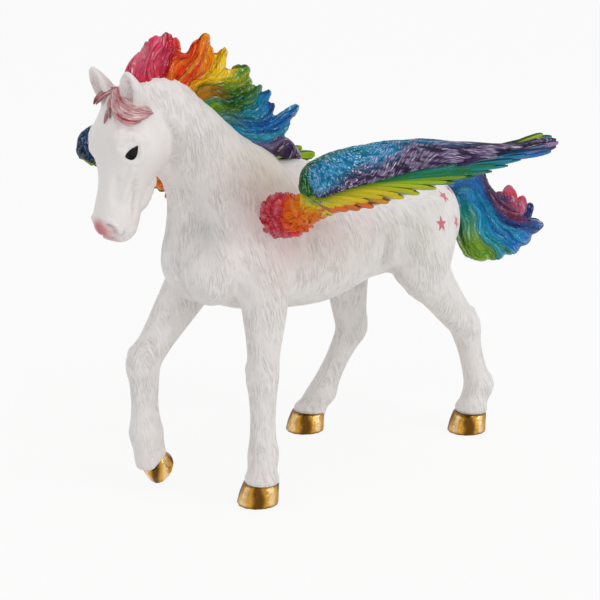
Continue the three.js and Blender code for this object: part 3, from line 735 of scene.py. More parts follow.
def comb_hair(lobes, cores, turn, blunt, detail, groove, wave, paints, lights, rounds=2):
    """Merges lobes of hair into one moulded mass, then combs cuts, waves and streaks of paint along it."""
    mass = bmesh.new()
    for spine, width, depth in cores:
        lobe_core(mass, spine, width, depth, blunt)
    hair = evened(mass, detail)
    relax(hair, hair.verts, rounds)
    hair.normal_update()
    paint = hair.verts.layers.float_color.new("paint")
    ridge = hair.verts.layers.float.new("ridge")
    vane = hair.verts.layers.float_vector.new("vane")
    find = comb(lobes, turn)
    last = len(paints) - 1
    for vert in hair.verts:
        lane, t, run = find(vert.co)
        side = 0.4 if vert.normal.y > 0 else 7.4
        sway = lane + 0.55 * noise.noise(Vector((lane * 0.7, run * 0.15, side)))
        wrapped = sway + EDGE_CUTS * vert.co.y / MM
        cut = min(abs(noise.noise(Vector((wrapped * 3.1, run * 0.035, side)))) * 4.2, 1) ** 0.7
        fold = noise.noise(Vector((wrapped * 1.3, run * 0.06, side + 3)))
        fade = eased(1, 0.86, t)
        vert.co += vert.normal * (wave * fold - groove * (1 - cut)) * (0.35 + 0.65 * fade) * eased(0, 0.2, t)
        place = min(max(sway + 0.25 * noise.noise(Vector((sway * 1.7, run * 0.09, side + 6))), 0), last)
        low = min(int(place), last - 1)
        share = eased(0.3, 0.7, place - low)
        colour = mixed(graded(paints[low], t), graded(paints[low + 1], t), share)
        streak = noise.noise(Vector((wrapped * 4.3, run * 0.05, side + 9)))
        for i, light in enumerate(lights[low if share < 0.5 else low + 1]):
            hold = eased(0.16, 0.36, streak) if i == 0 else eased(-0.16, -0.36, streak)
            colour = mixed(colour, light, 0.5 * hold)
        vert[paint] = (*colour, 1)
        vert[ridge] = cut
        vert[vane] = (sway * 5.2, side, run * 0.2)
    return hair


def blade(piece, root, tip, face, width, thickness, stops, seed, tilt=0.0, droop=0.0):
    """One feather: a thin vane with a raised shaft, broad past its middle and round at its tip."""
    places = (0, 0.15, 0.35, 0.55, 0.72, 0.84, 0.92, 0.97, 1)
    run = tip - root
    ahead = run.normalized()
    flat = square_to(face, ahead)
    across = (Matrix.Rotation(tilt, 3, ahead) @ ahead.cross(flat)).normalized()
    over = ahead.cross(across) * -1
    rings = []
    for place in places:
        round_tip = math.sqrt(max(1 - max((place - 0.78) / 0.235, 0) ** 2, 0.02))
        spread = (0.55 + 0.45 * eased(0, 0.55, place)) * round_tip
        thin = (1 - 0.45 * place) * max(round_tip, 0.35)
        centre = root + run * place - flat * droop * place * place
        rings.append(section(centre, across * width * spread, over * thickness * thin, ahead))
    length = run.length / MM

    def finish(t, angle):
        place = places[round(t * (len(places) - 1))]
        side = math.cos(angle)
        shaft = eased(0.75, 1, abs(math.sin(angle)))
        vane = (place * length, abs(side) * width / MM, seed * 0.37)
        # A low ridge at the vane's edges and root darkens them: painted shade between overlapping feathers
        crest = (1 - 0.95 * eased(0.3, 0.9, abs(side))) * (0.4 + 0.6 * eased(0, 0.35, place)) + 0.12 * shaft
        return 1 + 0.35 * shaft * (1 - place), min(crest, 1), graded(stops, place), vane

    strand(piece, rings, 14, finish)


def node(tree, kind, values=None, **settings):
    """Adds a shader node, sets its options, and fills or links its inputs."""
    made = tree.nodes.new(kind)
    for name, value in settings.items():
        setattr(made, name, value)
    for key, value in (values or {}).items():
        if isinstance(value, bpy.types.NodeSocket):
            tree.links.new(value, made.inputs[key])
        else:
            made.inputs[key].default_value = value
    return made


def blend(tree, share, first, second, mode="MIX"):
    """Mixes two colours by a share."""
    colours = [(*c, 1) if not isinstance(c, bpy.types.NodeSocket) else c for c in (first, second)]
    values = {0: share, 6: colours[0], 7: colours[1]}
    return node(tree, "ShaderNodeMix", values, data_type="RGBA", blend_type=mode).outputs[2]


def reckoned(tree, operation, first, second=0.0):
    """One step of arithmetic on two values."""
    return node(tree, "ShaderNodeMath", {0: first, 1: second}, operation=operation).outputs[0]


def times(tree, first, second):
    """Two values, multiplied."""
    return reckoned(tree, "MULTIPLY", first, second)


def combed(tree, vector, size, slant=0.0):
    """Coordinates counted in a stroke's sizes along each axis, after a slant seen from the side."""
    values = {"Vector": vector, "Rotation": (0, slant, 0), "Scale": size}
    return node(tree, "ShaderNodeMapping", values, vector_type="TEXTURE").outputs["Vector"]


def carried(tree, name, kind="Fac"):
    """A value that the piece's vertices carry."""
    return node(tree, "ShaderNodeAttribute", attribute_name=name).outputs[kind]


def strand_values(tree):
    """The paint, the ridge height and the vane of a lofted strand."""
    return carried(tree, "paint", "Color"), carried(tree, "ridge"), carried(tree, "vane", "Vector")


def remap(tree, value, low, high, start=0.0, end=1.0):
    """Maps a value from one range to another with a smooth step."""
    values = {0: value, 1: low, 2: high, 3: start, 4: end}
    return node(tree, "ShaderNodeMapRange", values, interpolation_type="SMOOTHSTEP").outputs[0]


def grain(tree, vector, scale, detail=2.0):
    """Noise height at a scale."""
    values = {"Vector": vector, "Scale": scale, "Detail": detail}
    return node(tree, "ShaderNodeTexNoise", values).outputs["Fac"]


def new_material(name):
    """An empty node material and its surface shader."""
    material = bpy.data.materials.new(name)
    material.use_nodes = True
    tree = material.node_tree
    return material, tree, tree.nodes["Principled BSDF"]


def drawing_coordinates(tree):
    """Object coordinates in the drawing's millimetres."""
    values = {"Location": DATUM / -MM, "Scale": (1 / MM,) * 3}
    values["Vector"] = node(tree, "ShaderNodeTexCoord").outputs["Object"]
    return node(tree, "ShaderNodeMapping", values).outputs["Vector"]


def near(tree, place, centre, reach):
    """1 at a centre, falling softly to 0 at its reach."""
    values = {0: place, 1: centre}
    apart = node(tree, "ShaderNodeVectorMath", values, operation="DISTANCE").outputs["Value"]
    return remap(tree, apart, reach, 0)


def raised(tree, height, depth):
    """A bump of a given depth in millimetres."""
    return node(tree, "ShaderNodeBump", {"Height": height, "Distance": depth * MM}).outputs["Normal"]


def painted(tree, shader, colour, roughness, normal, gloss=None):
    """Links a paint's colour, roughness and relief to its shader."""
    tree.links.new(colour, shader.inputs["Base Color"])
    tree.links.new(roughness, shader.inputs["Roughness"])
    tree.links.new(normal, shader.inputs["Normal"])
    if gloss is not None:
        shader.inputs["Specular IOR Level"].default_value = gloss


def finished(name, mesh, materials, nodes):
    """Turns a working mesh into a piece that stands for its CAD nodes."""
    if not mesh.faces:
        raise RuntimeError(f"{name} came out empty")
    for vert in mesh.verts:
        vert.co = [min(max(c, low), high) for c, low, high in zip(vert.co, *CAD_BOX)]
    for face in mesh.faces:
        face.smooth = True
    data = bpy.data.meshes.new(name)
    mesh.to_mesh(data)
    mesh.free()
    for material in materials:
        data.materials.append(material)
    piece = bpy.data.objects.new(name, data)
    bpy.context.scene.collection.objects.link(piece)
    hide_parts(*nodes)
    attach(piece, "root")


def evened(source, detail):
    """One even skin over a working mesh of overlapping shapes, which is used up."""
    data = bpy.data.meshes.new("moulding")
    source.to_mesh(data)
    source.free()
    moulding = bpy.data.objects.new("moulding", data)
    bpy.context.scene.collection.objects.link(moulding)
    remesh = moulding.modifiers.new("skin", "REMESH")
    remesh.mode = "VOXEL"
    remesh.voxel_size = detail
    graph = bpy.context.evaluated_depsgraph_get()
    even_data = bpy.data.meshes.new_from_object(moulding.evaluated_get(graph))
    skin = bmesh.new()
    skin.from_mesh(even_data)
    bpy.data.objects.remove(moulding)
    for mesh in (data, even_data):
        bpy.data.meshes.remove(mesh)
    return skin


def skin_of(nodes, swell, detail, plugs=None):
    """One even skin over copies of CAD nodes, grown a little and merged."""
    source = bmesh.new()
    for name in nodes:
        source.from_mesh(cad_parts[name].data)
    bmesh.ops.remove_doubles(source, verts=source.verts, dist=0.001 * MM)
    source.normal_update()
    for vert in source.verts:
        vert.co += vert.normal * swell
    if plugs:
        move_into(source, plugs)
    return evened(source, detail)


def relax(mesh, verts, rounds):
    """Smooths part of a skin."""
    axes = {"use_axis_x": True, "use_axis_y": True, "use_axis_z": True}
    for _ in range(rounds):
        bmesh.ops.smooth_vert(mesh, verts=verts, factor=0.5, **axes)


def drawing_place(vert):
    """Where a vertex is in the drawing, in millimetres."""
    return (vert.co - DATUM) / MM


def beyond(place, start):
    """Whether a place is further along every axis than a start."""
    return all(own > low for own, low in zip(place, start))


def hoof_of(leg):
    """The name of the hoof on a leg."""
    return "hoof_" + leg.replace("leg", "")


def press(mesh, tree, points, reach, height, facing=None):
    """Raises or sinks the skin along a line of points in the frame."""
    samples = points
    if len(points) > 1:
        length = sum((b - a).length for a, b in zip(points, points[1:]))
        samples = flow(points, even(max(int(length / (reach * MM) * 3), 4)))
    samples = [tree.find(sample)[0] for sample in samples]
    weights = {}
    for i, sample in enumerate(samples):
        share = (i + 0.5) / len(samples)
        taper = min(1, 0.3 + 5 * share * (1 - share)) if len(samples) > 1 else 1
        for _, index, apart in tree.find_range(sample, reach * MM):
            weight = taper * (1 - (apart / (reach * MM)) ** 2) ** 2
            weights[index] = max(weights.get(index, 0), weight)
    for index, weight in weights.items():
        vert = mesh.verts[index]
        if facing:
            weight *= max(vert.normal.dot(facing), 0)
        vert.co += vert.normal * height * MM * weight


def press_both(mesh, tree, points, reach, height, facing=None):
    """Presses the skin on the left side, and its mirror image on the right."""
    press(mesh, tree, points, reach, height, facing)
    other_way = mirrored(facing) if facing else None
    press(mesh, tree, [mirrored(point) for point in points], reach, height, other_way)


def limb_strokes():
    """Strokes for knees, hocks, tendons and fetlocks, from the leg joints."""
    strokes = []
    for name, joints in LEGS.items():
        top, knee, fetlock, coronet = (Vector(joint) for joint in joints)
        out = LEFT if top.y > 0 else -LEFT
        ahead = (top - knee).cross(out).normalized() * (1 if top.y > 0 else -1)
        back = ahead if ahead.x < 0 else -ahead
        hind = name.startswith("hind")
        bone = knee.lerp(fetlock, 0.5)
        for side in (out, -out):
            tendon = (
                knee.lerp(fetlock, 0.22) + side * 3.6 + back * 1.1,
                bone + side * 3.4 + back,
                knee.lerp(fetlock, 0.82) + side * 3.6 + back * 1.2,
            )
            strokes.append((tendon, 1.3, -0.42))
            strokes.append(((fetlock + side * 4.2,), 2.2, 0.3))
            strokes.append(((fetlock.lerp(coronet, 0.55) + side * 3.8,), 1.8, -0.25))
        strokes.append(((fetlock + back * 4.6 - UP * 0.6,), 2, 0.55))
        strokes.append(((fetlock.lerp(coronet, 0.5) + back * 4,), 1.7, -0.5))
        if hind:
            strokes.append(((knee + back * 5.6 + UP * 1.8,), 2.4, 0.9))
            start = knee.lerp(top, 0.18) + out * 4.6 + back * 2.6
            strokes.append(((start, knee.lerp(top, 0.5) + out * 5 + back * 3.4), 1.8, -0.6))
            strokes.append(((knee + out * 4.6 - UP,), 2.4, 0.35))
        else:
            for side in (out * 3.6, -out * 3.6):
                strokes.append(((knee + side - back * 2.4 + UP * 1.2,), 2.3, 0.5))
                strokes.append(((knee + side - back * 2 - UP * 2.4,), 2, 0.35))
            strokes.append(((knee + back * 4.4,), 1.8, 0.45))
            strokes.append(((knee - back * 4.6 - UP * 4.4,), 1.8, -0.3))
            strokes.append(((top.lerp(knee, 0.3) + out * 5, top.lerp(knee, 0.75) + out * 4.4), 1.8, -0.35))
    return strokes


def sculpt(mesh):
    """Presses the animal's muscles, folds and face into the smooth skin."""
    mesh.verts.ensure_lookup_table()
    tree = KDTree(len(mesh.verts))
    for vert in mesh.verts:
        tree.insert(vert.co, vert.index)
    tree.balance()
    mesh.normal_update()
    for points, reach, height in SIDE_STROKES:
        press_both(mesh, tree, [spot(*point) for point in points], reach, height)
    for points, reach, height in (*MIDDLE_STROKES, *limb_strokes()):
        press(mesh, tree, [spot(*point) for point in points], reach, height)
    for points, reach, height in EYE_LIDS:
        press_both(mesh, tree, [eye_place(*point) for point in points], reach, height)
    points, reach, height = EAR_HOLLOW
    press_both(mesh, tree, [spot(*point) for point in points], reach, height, EAR_FACING)


def mark_hollows(mesh):
    """Stores how sunken each part of the skin is, for the painted shade in the hollows."""
    places = [vert.co.copy() for vert in mesh.verts]
    relax(mesh, mesh.verts, 14)
    hollow = mesh.verts.layers.float.new("hollow")
    mesh.normal_update()
    for vert, place in zip(mesh.verts, places):
        vert[hollow] = (vert.co - place).dot(vert.normal) / MM
        vert.co = place


def star_group():
    """Node group: 1 inside a five-pointed star of unit radius, 0 outside."""
    tree = bpy.data.node_groups.new("Printed star", "ShaderNodeTree")
    tree.interface.new_socket("Vector", in_out="INPUT", socket_type="NodeSocketVector")
    tree.interface.new_socket("Star", in_out="OUTPUT", socket_type="NodeSocketFloat")
    source = node(tree, "NodeGroupInput").outputs["Vector"]
    parts = node(tree, "ShaderNodeSeparateXYZ", {0: source}).outputs
    inner = 0.42
    slice_angle = math.pi / 5
    turn = reckoned(tree, "ARCTAN2", parts[0], parts[1])
    folded = reckoned(tree, "PINGPONG", turn, slice_angle)
    flat = node(tree, "ShaderNodeCombineXYZ", {0: parts[0], 1: parts[1]}).outputs[0]
    reach = node(tree, "ShaderNodeVectorMath", {0: flat}, operation="LENGTH").outputs["Value"]
    along = times(tree, reach, reckoned(tree, "COSINE", folded))
    aside = times(tree, reach, reckoned(tree, "SINE", folded))
    normal = Vector((inner * math.sin(slice_angle), 1 - inner * math.cos(slice_angle)))
    edge = inner * math.sin(slice_angle) / normal.length
    normal.normalize()
    span = reckoned(tree, "ADD", times(tree, along, normal.x), times(tree, aside, normal.y))
    inside = remap(tree, span, edge + 0.03, edge - 0.03)
    shallow = remap(tree, reckoned(tree, "ABSOLUTE", parts[2]), 2.4, 2)
    star = times(tree, inside, shallow)
    node(tree, "NodeGroupOutput", {"Star": star})
    return tree


def cut_strokes(tree, place, size, slant=0.0):
    """Short engraved strokes along one direction: 1 in a stroke, 0 between strokes."""
    course = combed(tree, place, size, slant)
    apart = reckoned(tree, "ABSOLUTE", reckoned(tree, "SUBTRACT", grain(tree, course, 1, 1), 0.5))
    broken = remap(tree, grain(tree, course, 1.6, 0), 0.38, 0.6)
    return times(tree, remap(tree, apart, 0.02, 0.12, 1, 0), broken)


def coat_strokes(tree, place, face):
    """The coat's strokes in patches, down the flanks and breast and along the back, faint on the face."""
    normal = node(tree, "ShaderNodeNewGeometry").outputs["Normal"]
    facing = node(tree, "ShaderNodeSeparateXYZ", {0: normal}).outputs
    flank = cut_strokes(tree, place, (STROKE_WIDTH, STROKE_THROUGH, STROKE_LENGTH), FLANK_SLANT)
    breast = cut_strokes(tree, place, (STROKE_THROUGH, STROKE_WIDTH, STROKE_LENGTH))
    back = cut_strokes(tree, place, (STROKE_LENGTH, STROKE_WIDTH, STROKE_THROUGH))
    ahead = remap(tree, reckoned(tree, "ABSOLUTE", facing[0]), 0.62, 0.78)
    strokes = node(tree, "ShaderNodeMix", {0: ahead, 2: flank, 3: breast}).outputs[0]
    level = remap(tree, reckoned(tree, "ABSOLUTE", facing[2]), 0.62, 0.78)
    strokes = node(tree, "ShaderNodeMix", {0: level, 2: strokes, 3: back}).outputs[0]
    patches = remap(tree, grain(tree, place, 0.16, 3), 0.36, 0.62, 0.35, 1)
    return times(tree, strokes, times(tree, patches, remap(tree, face, 0.06, 0.4, 1, 0.12)))


def cream_with_shade(tree, settings, parts, folded, face, cuts, cloudy):
    """Cream paint greyed by a faint random tone in clouds, and by painted shade on the throat and chest, in
    the hollows and in the engraved strokes.
    """
    shade = times(tree, cloudy, 0.05)
    # Grey painted shade under the jaw and down the throat and chest
    for centre, reach, strength in THROAT_SHADES:
        smoky = times(tree, near(tree, folded, centre, reach), remap(tree, cloudy, 0, 1, 0.5, 1))
        shade = reckoned(tree, "ADD", shade, times(tree, smoky, strength))
    # Painted shade in the hollows, stronger on the face
    sunken = remap(tree, carried(tree, "hollow"), 0.02, 0.4)
    shade = reckoned(tree, "ADD", shade, times(tree, sunken, remap(tree, face, 0, 0.3, 0.28, 0.6)))
    # Painted shade in the engraved strokes, a little darker on the legs
    lower = remap(tree, parts[2], 56, 48)
    shade = reckoned(tree, "ADD", shade, times(tree, cuts, remap(tree, lower, 0, 1, 0.16, 0.21)))
    return blend(tree, reckoned(tree, "MINIMUM", shade, 0.9), settings.cream, settings.shade_and_tone)


def tinted(tree, settings, place, folded, colour):
    """The warm withers, the pink blushes and the pink lips over the coat."""
    warm = times(tree, near(tree, folded, *WARM_WITHERS), 0.6)
    colour = blend(tree, warm, colour, settings.ivory, "MULTIPLY")
    for centre, reach, strength in BLUSHES:
        share = times(tree, near(tree, folded, centre, reach), strength)
        colour = blend(tree, share, colour, settings.blush, "MULTIPLY")
    speckle = times(tree, grain(tree, place, 0.9, 3), 0.3)
    for centre, reach, strength in LIP_PINKS:
        soft = reckoned(tree, "SUBTRACT", near(tree, folded, centre, reach), speckle)
        lips = times(tree, remap(tree, soft, -0.1, 0.65), strength)
        colour = blend(tree, lips, colour, settings.muzzle)
    return colour


def printed_stars(tree, settings, place, folded):
    """1 inside the stars printed on the rump, a little worn."""
    star = star_group()
    printed = 0.0
    for centre, outward, spin in STARS:
        turn = Vector(outward).to_track_quat("Z", "Y").to_matrix()
        turn = turn @ Matrix.Rotation(math.radians(spin), 3, "Z")
        values = {"Vector": folded, "Location": centre, "Rotation": turn.to_euler()}
        values["Scale"] = (settings.star / MM,) * 3
        local = node(tree, "ShaderNodeMapping", values, vector_type="TEXTURE").outputs["Vector"]
        mark = node(tree, "ShaderNodeGroup", node_tree=star)
        tree.links.new(local, mark.inputs[0])
        printed = reckoned(tree, "MAXIMUM", printed, mark.outputs[0])
    return times(tree, printed, remap(tree, grain(tree, place, 1.6, 3), 0.25, 0.45, 0.75, 1))


def coat_material(settings):
    """Satin cream paint with engraved strokes, painted shade on the throat, in the hollows and in the
    strokes, blushes and printed stars.
    """
    material, tree, shader = new_material("Painted coat")
    place = drawing_coordinates(tree)
    parts = node(tree, "ShaderNodeSeparateXYZ", {0: place}).outputs
    side = reckoned(tree, "ABSOLUTE", parts[1])
    folded = node(tree, "ShaderNodeCombineXYZ", {0: parts[0], 1: side, 2: parts[2]}).outputs[0]
    face = near(tree, folded, *FACE)
    cuts = coat_strokes(tree, place, face)
    cloudy = remap(tree, grain(tree, place, 0.07, 4), 0.42, 0.72)
    colour = cream_with_shade(tree, settings, parts, folded, face, cuts, cloudy)
    colour = tinted(tree, settings, place, folded, colour)
    colour = blend(tree, printed_stars(tree, settings, place, folded), colour, settings.stars)
    roughness = remap(tree, cloudy, 0, 1, 0.42, 0.56)
    relief = reckoned(tree, "SUBTRACT", times(tree, grain(tree, place, 0.5, 3), 0.1), cuts)
    painted(tree, shader, colour, roughness, raised(tree, relief, 0.13))
    return material


def painted_glints(tree, vane, size):
    """Painted highlights: small bright dashes on gloss paint, on the faces that lean up and outward."""
    dash = remap(tree, grain(tree, combed(tree, vane, size), 1, 1), 0.62, 0.7)
    facing = node(tree, "ShaderNodeNewGeometry").outputs["Normal"]
    outward = node(tree, "ShaderNodeVectorMath", {0: facing}, operation="ABSOLUTE").outputs[0]
    values = {0: outward, 1: PAINTED_GLINT_FACING}
    lit = node(tree, "ShaderNodeVectorMath", values, operation="DOT_PRODUCT").outputs["Value"]
    return times(tree, dash, remap(tree, lit, 0.6, 0.9))


def combed_material(name, painted_highlight_share, shadow=(0.2, 0.2, 0.25)):
    """Gloss paint on combed hair, with painted shade in the cuts and painted highlights as thin pale dashes
    on the crests.
    """
    material, tree, shader = new_material(name)
    paint, ridge, vane = strand_values(tree)
    apart = reckoned(tree, "ABSOLUTE", reckoned(tree, "SUBTRACT", grain(tree, vane, 1.5, 1), 0.5))
    fine = remap(tree, apart, 0, 0.13)
    streak = grain(tree, vane, 1.1, 3)
    # Painted shade in the cuts and fine lines
    depth = times(tree, remap(tree, ridge, 0, 0.45, 0.2, 1), remap(tree, fine, 0, 1, 0.7, 1))
    dark = blend(tree, 1, paint, shadow, "MULTIPLY")
    colour = blend(tree, depth, dark, paint)
    # Painted highlights on the crests
    bright = times(tree, painted_glints(tree, vane, (0.45, 1, 0.35)), remap(tree, ridge, 0.45, 0.8))
    pale = blend(tree, 0.85, paint, (1, 1, 1))
    colour = blend(tree, times(tree, bright, painted_highlight_share), colour, pale)
    roughness = remap(tree, streak, 0.3, 0.7, 0.06, 0.13)
    painted(tree, shader, colour, roughness, raised(tree, fine, 0.2), PAINT_GLOSS)
    return material


def feather_material(name, pale, shine):
    """Satin-gloss paint on feathers: barbs cut across the vanes, painted shade in the barbs and where the
    vane lies low, and pale painted highlights on the crests.
    """
    material, tree, shader = new_material(name)
    paint, ridge, vane = strand_values(tree)
    parts = node(tree, "ShaderNodeSeparateXYZ", {0: vane}).outputs
    slanted = reckoned(tree, "SUBTRACT", parts[0], times(tree, parts[1], 1.1))
    ragged = reckoned(tree, "ADD", slanted, times(tree, grain(tree, vane, 0.9, 2), 1.2))
    barbs = remap(tree, reckoned(tree, "PINGPONG", ragged, 0.36), 0, 0.14)
    streak = grain(tree, drawing_coordinates(tree), 0.9, 3)
    # Painted shade in the barbs and where the vane lies low
    depth = times(tree, remap(tree, ridge, 0, 0.6), remap(tree, barbs, 0, 1, 0.6, 1))
    dark = blend(tree, 1, paint, (0.1, 0.12, 0.14), "MULTIPLY")
    colour = blend(tree, depth, dark, paint)
    # Painted highlights on the crests
    bright = times(tree, painted_glints(tree, vane, (1, 0.32, 1)), remap(tree, ridge, 0.5, 0.85))
    colour = blend(tree, times(tree, bright, shine), colour, pale)
    roughness = remap(tree, streak, 0.3, 0.7, 0.07, 0.15)
    painted(tree, shader, colour, roughness, raised(tree, barbs, 0.14), PAINT_GLOSS)
    return material


def stroke_material(pale):
    """Gloss paint on the covert pad: fine short strokes, painted shade in their cuts and pale painted glints
    on their crests.
    """
    material, tree, shader = new_material("Painted coverts")
    paint, ridge, vane = strand_values(tree)
    course = combed(tree, vane, (0.8, 0.18, 1))
    bent = node(tree, "ShaderNodeTexNoise", {"Vector": vane, "Scale": 0.5, "Detail": 1}).outputs["Color"]
    bend = node(tree, "ShaderNodeVectorMath", {0: bent, "Scale": 2.2}, operation="SCALE").outputs[0]
    course = node(tree, "ShaderNodeVectorMath", {0: course, 1: bend}, operation="ADD").outputs[0]
    fine = grain(tree, course, 1, 1)
    cut = remap(tree, fine, 0.36, 0.52)
    # Painted shade in the cuts between the strokes
    depth = times(tree, remap(tree, ridge, 0, 0.5, 0.45, 1), remap(tree, cut, 0, 1, 0.2, 1))
    dark = blend(tree, 1, paint, (0.12, 0.12, 0.18), "MULTIPLY")
    colour = blend(tree, depth, dark, paint)
    glint = times(tree, remap(tree, fine, 0.57, 0.67), remap(tree, ridge, 0.1, 0.6))
    colour = blend(tree, times(tree, glint, 0.9), colour, pale)
    roughness = remap(tree, fine, 0.3, 0.7, 0.15, 0.07)
    painted(tree, shader, colour, roughness, raised(tree, fine, 0.45), PAINT_GLOSS)
    return material


class PEGASUS_OT_coat(bpy.types.Operator):
    """Sculpts the white body from the torso, neck and leg mouldings"""

    bl_idname = "pegasus.coat"
    bl_label = "Coat"

    def execute(self, context):
        settings = context.scene.pegasus_coat
        nodes = ["torso", "head_and_neck", *LEGS]
        skin = skin_of(nodes, settings.swell, settings.detail, self.fillets())
        self.smooth(skin)
        self.refine_head(skin)
        sculpt(skin)
        relax(skin, skin.verts, 1)
        mark_hollows(skin)
        finished("coat", skin, [coat_material(settings)], nodes)
        return {"FINISHED"}

    def fillets(self):
        """Shapes that close the sockets, flare onto the hooves, and round the crest and ears."""
        fillets = bmesh.new()
        balls = [(spot(*centre), None, Vector(sizes) * MM) for centre, sizes in SOCKET_PLUGS]
        for leg, joints in LEGS.items():
            fetlock, coronet = Vector(joints[2]), Vector(joints[3])
            low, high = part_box(hoof_of(leg))
            along = (fetlock - coronet).to_track_quat("Z", "Y").to_matrix()
            turn = along.lerp(Matrix.Identity(3), 0.5).to_quaternion()
            flare = Vector(CORONET_FLARE) * (high - low).y / 2
            balls.append((spot(*coronet.lerp(fetlock, 0.1)), turn, flare))
        for ball in balls:
            matrix = Matrix.LocRotScale(*ball)
            bmesh.ops.create_icosphere(fillets, subdivisions=3, radius=1, matrix=matrix)
        rows = flow(CREST, even(28))
        path = [spot(row[0], 0, row[1]) for row in rows]
        rings = []
        for row, place, ahead in zip(rows, path, headings(path)):
            rings.append(section(place, LEFT * row[2] * MM, ahead.cross(LEFT) * row[3] * MM, ahead))
        strand(fillets, rings, 12, plain)
        across = LEFT.cross(EAR_FACING).cross(EAR_FACING) * -1
        rows = flow(EARS, even(18))
        for turn in (1, -1):
            path = [spot(row[0], row[1] * turn, row[2]) for row in rows]
            wide = Vector((across.x, across.y * turn, across.z)) * turn
            rings = []
            for row, place, ahead in zip(rows, path, headings(path)):
                level = square_to(wide, ahead)
                rings.append(section(place, level * row[3] * MM, ahead.cross(level) * row[4] * MM, ahead))
            strand(fillets, rings, 20, plain)
        return fillets

    def smooth(self, skin):
        """Smooths the joints between the mouldings, most on the trunk and least on the ears."""
        places = {vert: drawing_place(vert) for vert in skin.verts}
        ears = {v: p for v, p in places.items() if beyond(Vector((p.x, abs(p.y), p.z)), EAR_START)}
        rest = {v: p for v, p in places.items() if v not in ears}
        skull = [v for v, p in rest.items() if p.x > SKULL_EDGE[0] and p.z > SKULL_EDGE[1]]
        trunk = [v for v, p in rest.items() if p.x < TRUNK_EDGE[0] and p.z > TRUNK_EDGE[1]]
        barrel = [v for v, p in rest.items() if p.x < BARREL_EDGE[0] and p.z > BARREL_EDGE[1]]
        relax(skin, list(ears), 3)
        relax(skin, list(rest), 9)
        relax(skin, skull, 6)
        places = {vert: drawing_place(vert) for vert in skull}
        muzzle = [v for v, p in places.items() if p.x > MUZZLE_EDGE[0] and p.z < MUZZLE_EDGE[1]]
        relax(skin, muzzle, 14)
        relax(skin, trunk, 10)
        relax(skin, barrel, 12)

    def head(self, skin):
        """The vertices of the head."""
        places = {vert: drawing_place(vert) for vert in skin.verts}
        return {v: p for v, p in places.items() if p.x > HEAD_EDGE[0] and p.z > HEAD_EDGE[1]}

    def refine_head(self, skin):
        """Gives the head a finer skin for its face, and nods the ears forward."""
        head = self.head(skin)
        edges = [e for e in skin.edges if e.verts[0] in head and e.verts[1] in head]
        bmesh.ops.subdivide_edges(skin, edges=edges, cuts=1, use_grid_fill=True)
        head = list(self.head(skin))
        relax(skin, head, 3)
        for vert in head:
            place = drawing_place(vert)
            place.y = abs(place.y)
            if beyond(place, EAR_NOD_START):
                vert.co += EAR_NOD * MM * (place.z - EAR_NOD_START.z) / EAR_NOD_RISE


class PEGASUS_OT_eyes(bpy.types.Operator):
    """Makes the two gloss-black eyes"""

    bl_idname = "pegasus.eyes"
    bl_label = "Eyes"

    def execute(self, context):
        settings = context.scene.pegasus_fittings
        material, tree, shader = new_material("Gloss black")
        place = drawing_coordinates(tree)
        smear = remap(tree, grain(tree, place, 0.8, 2), 0.3, 0.7, 0.04, 0.14)
        tree.links.new(smear, shader.inputs["Roughness"])
        depth = remap(tree, grain(tree, place, 0.5, 2), 0.4, 0.6)
        brown = [channel + 0.012 for channel in settings.eye]
        tree.links.new(blend(tree, depth, settings.eye, brown), shader.inputs["Base Color"])
        shader.inputs["Specular IOR Level"].default_value = EYE_GLOSS
        start, end = (eye_place(*corner) for corner in EYE_CORNERS)
        chord = (start - end) / 2
        aside = chord.normalized().cross(EYE_OUT)
        skin = BVHTree.FromObject(bpy.data.objects["coat"], context.evaluated_depsgraph_get())
        for name, turn in (("left", 1), ("right", -1)):
            eye = bmesh.new()
            bmesh.ops.create_uvsphere(eye, u_segments=36, v_segments=24, radius=1)
            for vert in eye.verts:
                x, y, z = vert.co
                bulge = EYE_BULGES[1] if y > 0 else EYE_BULGES[0]
                drop = ((1 + z) / 2) ** 0.5 if z > -1 else 0
                at = (start + end) / 2 + chord * z - aside * y * drop * bulge * MM
                seat = skin.ray_cast(at + EYE_OUT * 6 * MM, -EYE_OUT)[0]
                if seat is None:
                    raise RuntimeError("The eye misses the head")
                vert.co = seat + EYE_OUT * x * EYE_DOME * MM
                if turn < 0:
                    vert.co = mirrored(vert.co)
            bmesh.ops.recalc_face_normals(eye, faces=eye.faces)
            finished(f"eye_{name}_gloss", eye, [material], [f"eye_{name}"])
        return {"FINISHED"}


